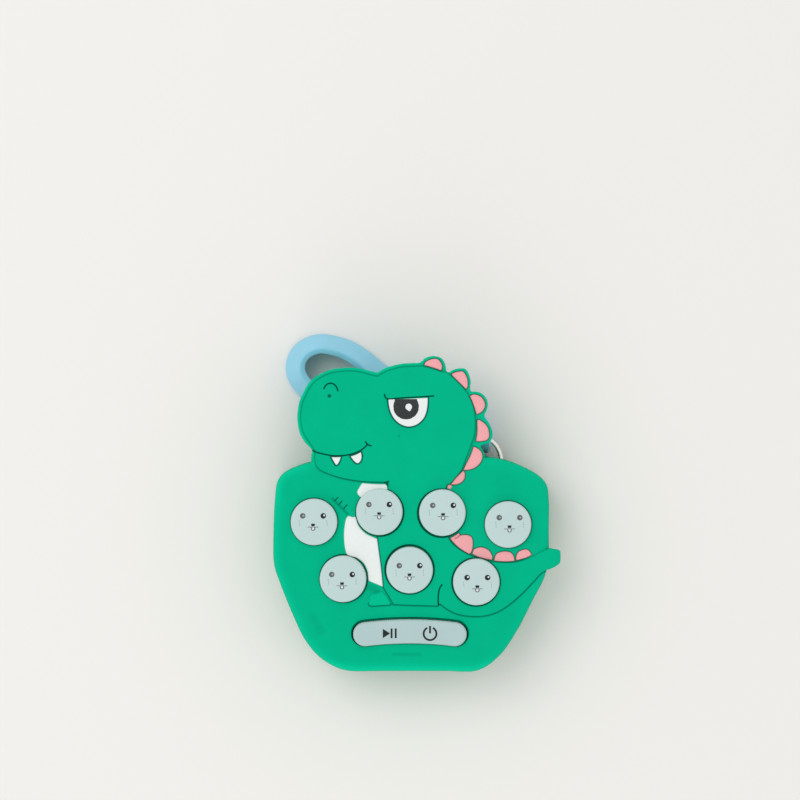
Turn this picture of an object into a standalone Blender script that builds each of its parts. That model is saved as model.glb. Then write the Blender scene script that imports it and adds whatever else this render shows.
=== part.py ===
"""Keychain memory game: a shield-shaped electronic game behind a soft moulded dinosaur cover.

It lies on its back. Lengths are in metres, +Z points out of the front, +Y towards the dinosaur's
head, and the origin is the middle of the flat patch at the centre of the back.
"""

import math

import bmesh
import bpy
from mathutils import Matrix, Vector

# Body and its layers, counted up from the flat back
BODY_WIDTH = 0.0626
BODY_LENGTH = 0.0492
BACK_PLATE = 0.0016
REAR_WALL = 0.0015
BACK_ROUNDING = 0.0010
SEAT_GAP = 0.0002
OVERRUN = 0.0010
ROOF_THICKNESS = 0.0010
BOARD_THICKNESS = 0.0010
PAD_HEIGHT = 0.0017
FLANGE_THICKNESS = 0.0008
FRONT_PLATE = 0.0014
FRONT_WALL = 0.0012
LIP_LENGTH = 0.0014
COVER_THICKNESS = 0.0028
SKIRT = 0.0016
COVER_ROUNDING = 0.0017

# Dinosaur relief on the cover
HEAD_WIDTH = 0.0408
HEAD_HEIGHT = 0.0284
HEAD_RAISE = 0.0009
HEAD_THICKNESS = 0.0034
HEAD_ROUNDING = 0.0006
CREST_RAISE = 0.0005
CREST_THICKNESS = 0.0027
TAIL_DROP = 0.0002
TAIL_THICKNESS = 0.0024
INLAY_DEPTH = 0.0010
INLAY_DROP = 0.0001
PUPIL_DEPTH = 0.0005
PUPIL_RADIUS = 0.0030
GROOVE_WIDTH = 0.0004
GROOVE_DEPTH = 0.0004

# Mole buttons and the curved function bar
BUTTON_RADIUS = 0.0053
BUTTON_PLAY = 0.0003
BUTTON_RISE = 0.0015
BUTTON_EDGE = 0.0004
BUTTON_CEILING = 0.0014
BUTTON_HOLLOW_RADIUS = 0.0034
FLANGE_REACH = 0.0007
PAD_WALL = 0.0011
BAR_LENGTH = 0.0259
BAR_WIDTH = 0.0055
BAR_BEND_RADIUS = 0.0810
BAR_RISE = 0.0011
BAR_EAR_LENGTH = 0.0060
BAR_EAR_REACH = 0.0008
BAR_EAR_GAP = 0.0005
BAR_PAD_SPACING = 0.0160
BAR_PAD_RADIUS = 0.0016
BAR_STRIP_THICKNESS = 0.0005
BAR_STRIP_WIDTH = 0.0042

# Cells, door and contacts
CELL_DIAMETER = 0.0116
CELL_HEIGHT = 0.0054
CELL_STEP = 0.0010
CELL_COUNT = 3
CELL_SPACING = 0.0119
CELL_SIDE_GAP = 0.0003
CONTACT_THICKNESS = 0.0002
CONTACT_WIDTH = 0.0050
DOOR_THICKNESS = 0.0014
DOOR_MARGIN = 0.0009
DOOR_PIN_RADIUS = 0.00035
DOOR_PIN_LENGTH = 0.0009
DOOR_EAR_RADIUS = 0.0026
BAY_WALL = 0.0011

# Screws and bosses
BOSS_RADIUS = 0.0024
BOSS_SPACE = 0.0003
SCREW_RADIUS = 0.0009
SCREW_HEAD_RADIUS = 0.0016
SCREW_HEAD_HEIGHT = 0.0012
SCREW_LENGTH = 0.0080
SCREW_SINK = 0.0028
SCREW_SLOT_WIDTH = 0.0005
SCREW_SLOT_SHARE = 0.5
SCREW_PLAY = 0.00015
DOOR_SCREW_RADIUS = 0.0008
DOOR_SCREW_HEAD_RADIUS = 0.0014
DOOR_SCREW_HEAD_HEIGHT = 0.0007
DOOR_SCREW_LENGTH = 0.0036
DOOR_SCREW_SWING = 0.0010

# Electronics
LED_LENGTH = 0.0020
LED_WIDTH = 0.0012
LED_HEIGHT = 0.0008
CHIP_RADIUS = 0.0032
CHIP_HEIGHT = 0.0012
SPEAKER_RADIUS = 0.0072
SPEAKER_HEIGHT = 0.0032
CHIP_CROWN_SHARES = (0.6, 0.85)
SPEAKER_MAGNET_SHARES = (0.6, 0.5)
SPEAKER_FENCE_WALL = 0.0009
SPEAKER_FENCE_HEIGHT = 0.0016
SOUND_HOLE_RADIUS = 0.0007
SOUND_HOLE_RING_RADIUS = 0.0034
SOUND_HOLE_COUNT = 6

# Lug, split ring and strap
RING_RADIUS = 0.00565
RING_WIRE_WIDTH = 0.0010
RING_WIRE_HEIGHT = 0.00090
RING_TURN_GAP = 0.00010
RING_KINK_DEGREES = 40
LUG_THICKNESS = 0.0022
LUG_WALL = 0.0013
LUG_HOLE_RADIUS = 0.0014
ALCOVE_SPACE = 0.0010
ALCOVE_SWING = 0.0015
ALCOVE_WALL = 0.0011
STRAP_LENGTH = 0.0480
STRAP_WIDTH = 0.0080
STRAP_NECK_WIDTH = 0.0052
STRAP_THICKNESS = 0.0018
STRAP_EYE_RADIUS = 0.00185
RIVET_RADIUS = 0.0012
RIVET_HEAD_RADIUS = 0.0026
RIVET_HEAD_HEIGHT = 0.0008
RIVET_PLAY = 0.00015

# Facets round each kind of curve
BUTTON_SIDES = 24
SMALL_SIDES = 12
CELL_SIDES = 20
CURVE_STEPS = 2
ROUND_STEPS = 2
RING_STEPS_PER_TURN = 32
STRAP_STEPS = 3
STRAP_TURN_STEPS = 8

# Levels worked out from the layers
DOOR_CONTACT_BOTTOM = DOOR_THICKNESS + SEAT_GAP
CELL_BOTTOM = DOOR_CONTACT_BOTTOM + CONTACT_THICKNESS + SEAT_GAP
ROOF_CONTACT_BOTTOM = CELL_BOTTOM + CELL_HEIGHT + SEAT_GAP
ROOF_BOTTOM = ROOF_CONTACT_BOTTOM + CONTACT_THICKNESS + SEAT_GAP
ROOF_TOP = ROOF_BOTTOM + ROOF_THICKNESS
REAR_DEPTH = ROOF_TOP
BOARD_BOTTOM = ROOF_TOP + SEAT_GAP
BOARD_TOP = BOARD_BOTTOM + BOARD_THICKNESS
PAD_BOTTOM = BOARD_TOP + SEAT_GAP
FLANGE_BOTTOM = PAD_BOTTOM + PAD_HEIGHT + SEAT_GAP
FLANGE_TOP = FLANGE_BOTTOM + FLANGE_THICKNESS
FRONT_PLATE_BOTTOM = FLANGE_TOP + SEAT_GAP
FRONT_TOP = FRONT_PLATE_BOTTOM + FRONT_PLATE
COVER_BOTTOM = FRONT_TOP + SEAT_GAP
COVER_TOP = COVER_BOTTOM + COVER_THICKNESS
HEAD_TOP = COVER_TOP + HEAD_RAISE
CREST_TOP = COVER_TOP + CREST_RAISE
BUTTON_TOP = COVER_TOP + BUTTON_RISE
BAR_TOP = COVER_TOP + BAR_RISE
RING_LIFT = STRAP_THICKNESS + STRAP_EYE_RADIUS
WIRE_HALF_HEIGHT = RING_WIRE_HEIGHT + RING_TURN_GAP / 2
ALCOVE_ROOM = RING_LIFT + WIRE_HALF_HEIGHT + ALCOVE_SWING

# Places as shares of the body: x of its width, y of its length
BUTTON_SHARES = (
    (-0.353, 0.116), (-0.116, 0.163), (0.113, 0.159), (0.351, 0.104),
    (-0.248, -0.147), (-0.006, -0.106), (0.236, -0.161),
)
BAR_SHARE = (-0.005, -0.390)
HEAD_CENTRE_SHARE = (-0.089, 0.564)
BAY_CENTRE_SHARE = (0.0, -0.303)
SPEAKER_SHARE = (-0.096, 0.207)
CHIP_SHARE = (0.330, -0.040)
RING_CENTRE_SHARE = (0.240, 0.396)

# Each screw boss stands beside a button, at this angle from it
BOSS_PLACES = ((0, 112), (3, 68), (4, 197), (6, -17))

SHIELD_SHARES = (
    (0.322, 0.407), (0.159, 0.423), (-0.001, 0.427), (-0.161, 0.423), (-0.324, 0.404),
    (-0.439, 0.360), (-0.484, 0.309), (-0.496, 0.217), (-0.501, 0.079), (-0.500, -0.069),
    (-0.478, -0.166), (-0.428, -0.323), (-0.383, -0.437), (-0.322, -0.522), (-0.237, -0.572),
    (-0.114, -0.575), (-0.001, -0.575), (0.122, -0.575), (0.239, -0.573), (0.322, -0.502),
    (0.387, -0.383), (0.442, -0.247), (0.485, -0.139), (0.499, -0.042), (0.500, 0.079),
    (0.500, 0.217), (0.487, 0.298), (0.429, 0.356),
)
TAIL_TIP_SHARES = (
    (0.467, -0.009), (0.453, -0.023), (0.453, -0.115), (0.489, -0.115), (0.513, -0.097),
    (0.534, -0.081), (0.541, -0.065), (0.542, -0.028), (0.534, -0.013), (0.501, -0.007),
)
TAIL_SPIKE_SHARES = (
    ((0.141, 0.040), (0.173, 0.065), (0.182, 0.052), (0.210, 0.053), (0.223, 0.037),
     (0.223, 0.001), (0.212, -0.029), (0.164, 0.001)),
    ((0.221, -0.028), (0.238, -0.005), (0.257, -0.001), (0.280, -0.014), (0.295, -0.040),
     (0.289, -0.059), (0.239, -0.044)),
    ((0.300, -0.051), (0.310, -0.028), (0.336, -0.020), (0.362, -0.025), (0.375, -0.049),
     (0.373, -0.064), (0.304, -0.064)),
    ((0.380, -0.051), (0.387, -0.022), (0.408, -0.012), (0.424, -0.014), (0.437, -0.031),
     (0.424, -0.043), (0.383, -0.058)),
)
BELLY_SHARES = (
    (-0.228, 0.145), (-0.206, 0.137), (-0.191, 0.098), (-0.167, 0.065), (-0.125, 0.042),
    (-0.118, -0.044), (-0.109, -0.124), (-0.105, -0.184), (-0.146, -0.162),
    (-0.160, -0.111), (-0.174, -0.075), (-0.198, -0.051), (-0.233, -0.032),
    (-0.242, 0.0), (-0.245, 0.054), (-0.242, 0.103),
)
THROAT_SHARES = (
    (-0.179, 0.293), (-0.097, 0.290), (-0.091, 0.282), (-0.106, 0.271), (-0.150, 0.261),
    (-0.187, 0.237), (-0.196, 0.252), (-0.190, 0.275),
)
BODY_GROOVE_SHARES = (
    ((0.141, 0.034), (0.206, -0.029), (0.285, -0.060), (0.373, -0.067), (0.434, -0.043),
     (0.493, -0.009)),
    ((0.103, -0.259), (0.131, -0.289), (0.168, -0.311), (0.215, -0.321), (0.261, -0.320),
     (0.308, -0.303), (0.355, -0.268), (0.401, -0.215), (0.443, -0.158), (0.508, -0.090)),
    ((-0.064, -0.266), (0.013, -0.273), (0.095, -0.274)),
    ((0.111, -0.190), (0.100, -0.215), (0.097, -0.262)),
    ((-0.113, -0.207), (-0.100, -0.211), (-0.076, -0.254), (-0.150, -0.272), (-0.154, -0.257),
     (-0.149, -0.226)),
)

# Places as shares of the head: x of its width, y of its height
HEAD_SHARES = (
    (0.352, -0.456), (0.408, -0.336), (0.469, -0.184), (0.499, 0.019), (0.490, 0.132),
    (0.452, 0.264), (0.397, 0.356), (0.335, 0.420), (0.263, 0.476), (0.183, 0.498),
    (0.074, 0.488), (-0.002, 0.459), (-0.052, 0.420), (-0.116, 0.444), (-0.205, 0.460),
    (-0.316, 0.443), (-0.418, 0.363), (-0.484, 0.200), (-0.499, 0.080), (-0.484, -0.072),
    (-0.418, -0.208), (-0.402, -0.296), (-0.333, -0.389), (-0.253, -0.427), (-0.096, -0.459),
    (0.007, -0.456), (0.129, -0.472), (0.252, -0.496), (0.329, -0.500),
)
CREST_SHARES = (
    (0.330, -0.536), (0.374, -0.516), (0.419, -0.488), (0.455, -0.448), (0.466, -0.388),
    (0.508, -0.356), (0.544, -0.304), (0.555, -0.246), (0.538, -0.200), (0.514, -0.168),
    (0.558, -0.150), (0.583, -0.120), (0.590, -0.077), (0.578, -0.008), (0.543, 0.062),
    (0.563, 0.154), (0.558, 0.200), (0.538, 0.242), (0.505, 0.266), (0.467, 0.276),
    (0.468, 0.354), (0.455, 0.416), (0.436, 0.450), (0.409, 0.454), (0.372, 0.443),
    (0.342, 0.426), (0.326, 0.483), (0.305, 0.533), (0.262, 0.552), (0.218, 0.539),
    (0.183, 0.490), (0.213, 0.424), (0.324, 0.344), (0.408, 0.200), (0.441, 0.0),
    (0.419, -0.160), (0.352, -0.320), (0.296, -0.440), (0.302, -0.512),
)
HEAD_SPIKE_SHARES = (
    ((0.207, 0.478), (0.218, 0.507), (0.257, 0.530), (0.289, 0.522), (0.309, 0.472),
     (0.300, 0.434), (0.266, 0.454)),
    ((0.360, 0.400), (0.372, 0.417), (0.409, 0.430), (0.430, 0.422), (0.448, 0.376),
     (0.452, 0.331), (0.437, 0.288), (0.393, 0.350)),
    ((0.462, 0.224), (0.495, 0.244), (0.526, 0.224), (0.545, 0.184), (0.547, 0.146),
     (0.532, 0.108), (0.500, 0.090), (0.486, 0.130)),
    ((0.502, 0.034), (0.516, 0.041), (0.561, -0.016), (0.570, -0.062), (0.554, -0.123),
     (0.521, -0.130), (0.496, -0.124), (0.501, -0.054)),
    ((0.481, -0.176), (0.521, -0.204), (0.533, -0.242), (0.526, -0.292), (0.500, -0.335),
     (0.468, -0.356), (0.429, -0.357), (0.457, -0.246)),
    ((0.430, -0.372), (0.437, -0.392), (0.433, -0.431), (0.414, -0.462), (0.387, -0.477),
     (0.357, -0.472), (0.403, -0.380)),
)
EYE_SHARES = (
    (0.009, 0.208), (0.009, 0.208), (0.015, 0.120), (0.051, 0.032), (0.124, -0.011),
    (0.191, 0.040), (0.224, 0.136), (0.227, 0.220), (0.227, 0.220),
)
PUPIL_CENTRE_SHARE = (0.108, 0.147)
PUPIL_BROW_DEGREES = 36
TOOTH_SHARES = (
    ((-0.308, -0.254), (-0.280, -0.319), (-0.257, -0.251)),
    ((-0.199, -0.248), (-0.163, -0.304), (-0.140, -0.251), (-0.145, -0.212)),
)
HEAD_GROOVE_SHARES = (
    ((-0.417, -0.200), (-0.387, -0.220), (-0.316, -0.242), (-0.261, -0.246), (-0.211, -0.238),
     (-0.160, -0.214), (-0.127, -0.184), (-0.106, -0.154)),
    ((-0.012, 0.243), (0.003, 0.217), (0.077, 0.214), (0.183, 0.222), (0.260, 0.230)),
)

# Strap route: shares of its length across and along from the ring, lean in degrees, share of lift
STRAP_ROUTE_SHARES = (
    (0.0, 0.0, 90, 1.0), (-0.004, 0.042, 90, 1.0), (-0.042, 0.089, 90, 0.8),
    (-0.137, 0.133, 90, 0.6), (-0.267, 0.159, 77, 0.48), (-0.392, 0.183, 55, 0.2),
    (-0.509, 0.221, 33, 0.0), (-0.595, 0.277, 28, 0.0), (-0.68, 0.318, 26, 0.0),
    (-0.752, 0.332, 25, 0.0), (-0.827, 0.33, 25, 0.0), (-0.891, 0.294, 25, 0.0),
    (-0.921, 0.237, 25, 0.0), (-0.914, 0.175, 25, 0.0), (-0.867, 0.116, 25, 0.0),
    (-0.781, 0.061, 22, 0.0), (-0.648, 0.017, 8, 0.0), (-0.452, 0.009, -30, 0.0),
    (-0.261, 0.061, -74, 0.06), (-0.14, 0.126, -90, 0.18), (-0.044, 0.085, -90, 0.08),
    (-0.004, 0.042, -90, 0.0), (0.0, 0.0, -90, 0.0),
)
STRAP_NECK_SHARES = (0.05, 0.17)
STRAP_HEADING_DEGREES = 82
RIVET_STATIONS = (3, 19)

FINISHES = {
    "green_soft": ((0.0, 0.75, 0.56), 0.55, 0.0),
    "pink_soft": ((0.96, 0.64, 0.67), 0.55, 0.0),
    "white_soft": ((0.93, 0.94, 0.94), 0.5, 0.0),
    "black_soft": ((0.22, 0.22, 0.23), 0.4, 0.0),
    "green_shell": ((0.0, 0.70, 0.53), 0.4, 0.0),
    "clear_cap": ((0.76, 0.86, 0.86), 0.35, 0.0),
    "silicone": ((0.85, 0.85, 0.83), 0.6, 0.0),
    "board": ((0.05, 0.35, 0.18), 0.45, 0.0),
    "epoxy": ((0.04, 0.04, 0.04), 0.3, 0.0),
    "led": ((0.95, 0.93, 0.80), 0.3, 0.0),
    "speaker": ((0.15, 0.15, 0.16), 0.4, 0.3),
    "steel": ((0.75, 0.75, 0.77), 0.25, 1.0),
    "nickel": ((0.82, 0.80, 0.76), 0.2, 1.0),
    "blue_strap": ((0.45, 0.76, 0.88), 0.5, 0.0),
}


def linear(channel):
    """One sRGB channel as a linear value."""
    return ((channel + 0.055) / 1.055) ** 2.4 if channel > 0.04045 else channel / 12.92


def material(name):
    """The Principled material of one finish."""
    found = bpy.data.materials.get(name)
    if found:
        return found
    colour, roughness, metallic = FINISHES[name]
    made = bpy.data.materials.new(name)
    made.use_nodes = True
    shader = made.node_tree.nodes["Principled BSDF"]
    shader.inputs["Base Color"].default_value = (*map(linear, colour), 1)
    shader.inputs["Roughness"].default_value = roughness
    shader.inputs["Metallic"].default_value = metallic
    return made


def body_place(share):
    """A place on the body from its shares."""
    return (share[0] * BODY_WIDTH, share[1] * BODY_LENGTH)


def head_place(share):
    """A place on the head from its shares."""
    x, y = body_place(HEAD_CENTRE_SHARE)
    return (x + share[0] * HEAD_WIDTH, y + share[1] * HEAD_HEIGHT)


def smooth_outline(points, steps=CURVE_STEPS, closed=True):
    """A Catmull-Rom curve through the points; a point given twice makes a corner."""
    count = len(points)
    found = []
    for i in range(count if closed else count - 1):
        nearby = (i - 1, i, i + 1, i + 2)
        ends = [points[k % count if closed else min(max(k, 0), count - 1)] for k in nearby]
        if ends[1] == ends[2]:
            continue
        before, start, end, after = (Vector(p) for p in ends)
        for step in range(steps):
            t = step / steps
            bend = 2 * before - 5 * start + 4 * end - after
            twist = 3 * (start - end) + after - before
            found.append(tuple(start + (t * (end - before) + t**2 * bend + t**3 * twist) / 2))
    if not closed:
        return found + [tuple(points[-1])]
    area = sum(a[0] * b[1] - b[0] * a[1] for a, b in zip(found, found[1:] + found[:1]))
    return found if area > 0 else found[::-1]


def inset(points, distance):
    """The closed counter-clockwise outline moved inwards by the distance, or outwards if negative."""
    count = len(points)
    moved = []
    for i in range(count):
        here = Vector(points[i][:2])
        back = (here - Vector(points[i - 1][:2])).normalized()
        ahead = (Vector(points[(i + 1) % count][:2]) - here).normalized()
        along = (back + ahead).normalized()
        normal = Vector((-along.y, along.x))
        cosine = max(normal.dot(Vector((-ahead.y, ahead.x))), 0.5)
        moved.append(tuple(here + normal * distance / cosine))
    return moved


def circle(radius, sides, centre=(0.0, 0.0)):
    """A closed circle of points round a centre."""
    turns = [2 * math.pi * i / sides for i in range(sides)]
    return [(centre[0] + radius * math.cos(a), centre[1] + radius * math.sin(a)) for a in turns]


def rectangle(low, high):
    """A rectangle of points from its low and high corners."""
    return [(low[0], low[1]), (high[0], low[1]), (high[0], high[1]), (low[0], high[1])]


def new_object(name, mesh_data):
    """An object in the scene that holds this bmesh."""
    bmesh.ops.recalc_face_normals(mesh_data, faces=mesh_data.faces)
    mesh = bpy.data.meshes.new(name)
    mesh_data.to_mesh(mesh)
    mesh_data.free()
    made = bpy.data.objects.new(name, mesh)
    bpy.context.scene.collection.objects.link(made)
    return made


def loft(name, loops, endless=False):
    """A closed solid through loops of points that hold one count: flat ended, or a ring."""
    made = bmesh.new()
    rings = [[made.verts.new(point) for point in loop] for loop in loops]
    pairs = list(zip(rings, rings[1:]))
    if endless:
        pairs.append((rings[-1], rings[0]))
    for low, high in pairs:
        for i in range(len(low)):
            made.faces.new((low[i - 1], low[i], high[i], high[i - 1]))
    if not endless:
        made.faces.new(list(reversed(rings[0])))
        made.faces.new(rings[-1])
    return new_object(name, made)


def prism(name, outline, bottom, top, top_rounding=0.0, bottom_rounding=0.0):
    """An upright solid of one outline, with its top or bottom edge rounded where asked."""
    quarters = [math.pi / 2 * step / ROUND_STEPS for step in range(1, ROUND_STEPS + 1)]
    levels = []
    if bottom_rounding:
        for angle in reversed(quarters):
            shift = bottom_rounding * (1 - math.cos(angle))
            levels.append((shift, bottom + bottom_rounding * (1 - math.sin(angle))))
    levels.append((0.0, bottom + bottom_rounding))
    levels.append((0.0, top - top_rounding))
    if top_rounding:
        for angle in quarters:
            shift = top_rounding * (1 - math.cos(angle))
            levels.append((shift, top - top_rounding * (1 - math.sin(angle))))
    loops = []
    for shift, level in levels:
        points = inset(outline, shift) if shift else outline
        loops.append([(x, y, level) for x, y in points])
    return loft(name, loops)


def turned(name, profile, sides, centre=(0.0, 0.0)):
    """A solid of revolution about an upright axis; the profile's radii of zero lie on the axis."""
    made = bmesh.new()
    rings = []
    for radius, level in profile:
        if radius:
            rings.append([made.verts.new((x, y, level)) for x, y in circle(radius, sides, centre)])
        else:
            rings.append([made.verts.new((*centre, level))])
    pairs = list(zip(rings, rings[1:]))
    if profile[0][0]:
        pairs.append((rings[-1], rings[0]))
    for low, high in pairs:
        for i in range(sides):
            if len(low) == 1:
                corners = (low[0], high[i], high[i - 1])
            elif len(high) == 1:
                corners = (low[i - 1], low[i], high[0])
            else:
                corners = (low[i - 1], low[i], high[i], high[i - 1])
            made.faces.new(corners)
    return new_object(name, made)


def box(name, low, high):
    """A box from its low and high corners."""
    return prism(name, rectangle(low, high), low[2], high[2])


def bar_across(name, radius, low_x, high_x, y, level, sides=SMALL_SIDES):
    """A round bar along X."""
    loops = [[(x, y + a, level + b) for a, b in circle(radius, sides)] for x in (low_x, high_x)]
    return loft(name, loops)


def combine(target, other, operation):
    """Joins or cuts the target with another solid, which is used up."""
    modifier = target.modifiers.new(operation.title(), "BOOLEAN")
    modifier.object = other
    modifier.operation = operation
    modifier.solver = "EXACT"
    bpy.context.view_layer.update()
    graph = bpy.context.evaluated_depsgraph_get()
    result = bpy.data.meshes.new_from_object(target.evaluated_get(graph))
    target.modifiers.clear()
    target.data = result
    bpy.data.objects.remove(other, do_unlink=True)


def join(target, other):
    combine(target, other, "UNION")


def cut(target, other):
    combine(target, other, "DIFFERENCE")


def finish(piece, name, origin=(0.0, 0.0, 0.0)):
    """Gives a piece its material, its shading and its origin."""
    piece.data.materials.clear()
    piece.data.materials.append(material(name))
    piece.data.transform(Matrix.Translation(-Vector(origin)))
    piece.location = origin
    piece.data.shade_smooth()
    piece.data.set_sharp_from_angle(angle=math.radians(35))
    return piece


def ribbon(points, width):
    """A closed outline of one width along an open line of points."""
    left, right = [], []
    for i, point in enumerate(points):
        before = Vector(points[max(i - 1, 0)])
        after = Vector(points[min(i + 1, len(points) - 1)])
        along = (after - before).normalized()
        side = Vector((-along.y, along.x)) * width / 2
        left.append(tuple(Vector(point) + side))
        right.append(tuple(Vector(point) - side))
    return right + left[::-1]


def shield():
    """The body's outline seen from the front."""
    return smooth_outline([body_place(share) for share in SHIELD_SHARES])


def front_outline():
    """The outer wall of the front shell, inside the soft skirt."""
    return inset(shield(), SKIRT + SEAT_GAP)


def button_places():
    return [body_place(share) for share in BUTTON_SHARES]


def boss_places():
    """The screw bosses, each beside its button's flange."""
    reach = BUTTON_RADIUS + FLANGE_REACH + BOSS_RADIUS + BOSS_SPACE
    found = []
    for index, degrees in BOSS_PLACES:
        x, y = button_places()[index]
        angle = math.radians(degrees)
        found.append((x + reach * math.cos(angle), y + reach * math.sin(angle)))
    return found


def bar_outline(grow=0.0):
    """The curved bar's outline, larger all round by the amount."""
    pivot = Vector(body_place(BAR_SHARE)) - Vector((0.0, BAR_BEND_RADIUS))
    half = BAR_WIDTH / 2 + grow
    reach = (BAR_LENGTH - BAR_WIDTH) / 2 / BAR_BEND_RADIUS
    end_steps = SMALL_SIDES // 2
    found = []
    for side in (1, -1):
        end = side * reach
        middle = pivot + BAR_BEND_RADIUS * Vector((math.sin(end), math.cos(end)))
        for step in range(end_steps + 1):
            angle = math.pi * step / end_steps - side * math.pi / 2 - end
            found.append(tuple(middle + half * Vector((math.cos(angle), math.sin(angle)))))
        for step in range(1, ROUND_STEPS * 2):
            swing = end * (1 - step / ROUND_STEPS)
            radius = BAR_BEND_RADIUS + side * half
            found.append(tuple(pivot + radius * Vector((math.sin(swing), math.cos(swing)))))
    return found


def bay_size():
    """Half the width and half the length of the room for the row of cells."""
    half_width = (CELL_SPACING * (CELL_COUNT - 1) + CELL_DIAMETER) / 2 + CELL_SIDE_GAP
    return half_width, CELL_DIAMETER / 2 + CELL_SIDE_GAP


def cell_places():
    """The cells' centres, from left to right."""
    x, y = body_place(BAY_CENTRE_SHARE)
    first = x - CELL_SPACING * (CELL_COUNT - 1) / 2
    return [(first + CELL_SPACING * i, y) for i in range(CELL_COUNT)]


def door_corners():
    """The low and high corners of the door, whose low edge is its hinge."""
    x, y = body_place(BAY_CENTRE_SHARE)
    half_width, half_length = bay_size()
    low = (x - half_width - DOOR_MARGIN, y - half_length - DOOR_MARGIN)
    return low, (x + half_width + DOOR_MARGIN, y + half_length + DOOR_MARGIN)


def door_hinge():
    """A point on the door's hinge axis, which runs along X."""
    low, high = door_corners()
    return ((low[0] + high[0]) / 2, low[1] + DOOR_THICKNESS / 2, DOOR_THICKNESS / 2)


def door_screw_place():
    low, high = door_corners()
    return ((low[0] + high[0]) / 2, high[1] + DOOR_EAR_RADIUS / 2)


def ring_centre():
    return (*body_place(RING_CENTRE_SHARE), RING_LIFT)


def lug_axis():
    """The point where the ring passes through the lug, along X."""
    x, y, level = ring_centre()
    return (x, y - RING_RADIUS, level)


def strap_hinge():
    """The middle of the ring's wire where the strap wraps it."""
    x, y, level = ring_centre()
    angle = math.radians(STRAP_HEADING_DEGREES)
    return (x + RING_RADIUS * math.cos(angle), y + RING_RADIUS * math.sin(angle), level)


def alcove_corners(grow=0.0):
    """The low and high corners of the lug's alcove, open at the body's top edge."""
    x, y, level = ring_centre()
    half = RING_RADIUS + RING_WIRE_WIDTH / 2 + ALCOVE_SPACE + grow
    low_y = y - RING_RADIUS - RING_WIRE_WIDTH / 2 - ALCOVE_SPACE - grow
    return (x - half, low_y), (x + half, BODY_LENGTH)


def make_cover():
    """The soft green cover: shield, raised head, crest and tail tip in one moulding."""
    cover = prism("soft_cover", shield(), REAR_DEPTH + SEAT_GAP, COVER_TOP, COVER_ROUNDING)
    tail = smooth_outline([body_place(share) for share in TAIL_TIP_SHARES])
    tail_top = COVER_TOP - TAIL_DROP
    join(cover, prism("tail_tip", tail, tail_top - TAIL_THICKNESS, tail_top, TAIL_DROP))
    head = smooth_outline([head_place(share) for share in HEAD_SHARES])
    join(cover, prism("head", head, HEAD_TOP - HEAD_THICKNESS, HEAD_TOP, HEAD_ROUNDING))
    crest = smooth_outline([head_place(share) for share in CREST_SHARES])
    join(cover, prism("crest", crest, CREST_TOP - CREST_THICKNESS, CREST_TOP))
    room = inset(shield(), SKIRT)
    cut(cover, prism("room", room, REAR_DEPTH - OVERRUN, COVER_BOTTOM))
    for place in button_places():
        hole = circle(BUTTON_RADIUS + BUTTON_PLAY, BUTTON_SIDES, place)
        cut(cover, prism("hole", hole, REAR_DEPTH, BUTTON_TOP + OVERRUN))
    cut(cover, prism("bar_hole", bar_outline(BUTTON_PLAY), REAR_DEPTH, BAR_TOP + OVERRUN))
    for points in BODY_GROOVE_SHARES:
        carve(cover, [body_place(share) for share in points], COVER_TOP)
    for points in HEAD_GROOVE_SHARES:
        carve(cover, [head_place(share) for share in points], HEAD_TOP)
    return cover


def carve(cover, points, top):
    """One engraved line in the cover."""
    line = ribbon(smooth_outline(points, closed=False), GROOVE_WIDTH)
    cut(cover, prism("groove", line, top - GROOVE_DEPTH, top + OVERRUN))


def make_inlay(cover, name, outline, top, depth, finish_name, holes=()):
    """A coloured inlay, level with its top less a drop, in a pocket cut for it."""
    pocket = inset(outline, -SEAT_GAP)
    cut(cover, prism("pocket", pocket, top - depth, top + OVERRUN))
    piece = prism(name, outline, top - depth + SEAT_GAP, top - INLAY_DROP)
    for place in holes:
        edge = circle(BUTTON_RADIUS + BUTTON_PLAY + SEAT_GAP, BUTTON_SIDES, place)
        cut(piece, prism("edge", edge, top - depth - OVERRUN, top + OVERRUN))
    return finish(piece, finish_name)


def make_inlays(cover):
    """The spikes, belly, throat, eye and teeth."""
    places = button_places()
    for number, points in enumerate(HEAD_SPIKE_SHARES, 1):
        outline = smooth_outline([head_place(share) for share in points])
        make_inlay(cover, f"head_spike_{number}", outline, CREST_TOP, INLAY_DEPTH, "pink_soft", places)
    for number, points in enumerate(TAIL_SPIKE_SHARES, 1):
        outline = smooth_outline([body_place(share) for share in points])
        make_inlay(cover, f"tail_spike_{number}", outline, COVER_TOP, INLAY_DEPTH, "pink_soft", places)
    for name, points in (("belly_inlay", BELLY_SHARES), ("throat_inlay", THROAT_SHARES)):
        outline = smooth_outline([body_place(share) for share in points])
        make_inlay(cover, name, outline, COVER_TOP, INLAY_DEPTH, "white_soft", places)
    for number, points in enumerate(TOOTH_SHARES, 1):
        outline = [head_place(share) for share in points]
        make_inlay(cover, f"tooth_{number}", outline, HEAD_TOP, INLAY_DEPTH, "white_soft")
    eye = smooth_outline([head_place(share) for share in EYE_SHARES])
    white = make_inlay(cover, "eye_white", eye, HEAD_TOP, INLAY_DEPTH, "white_soft")
    brow = math.radians(PUPIL_BROW_DEGREES)
    sweep = math.pi + 2 * brow
    turns = [math.pi - brow + sweep * i / BUTTON_SIDES for i in range(BUTTON_SIDES + 1)]
    x, y = head_place(PUPIL_CENTRE_SHARE)
    pupil = [(x + PUPIL_RADIUS * math.cos(a), y + PUPIL_RADIUS * math.sin(a)) for a in turns]
    make_inlay(white, "eye_pupil", pupil, HEAD_TOP - INLAY_DROP, PUPIL_DEPTH, "black_soft")


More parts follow.
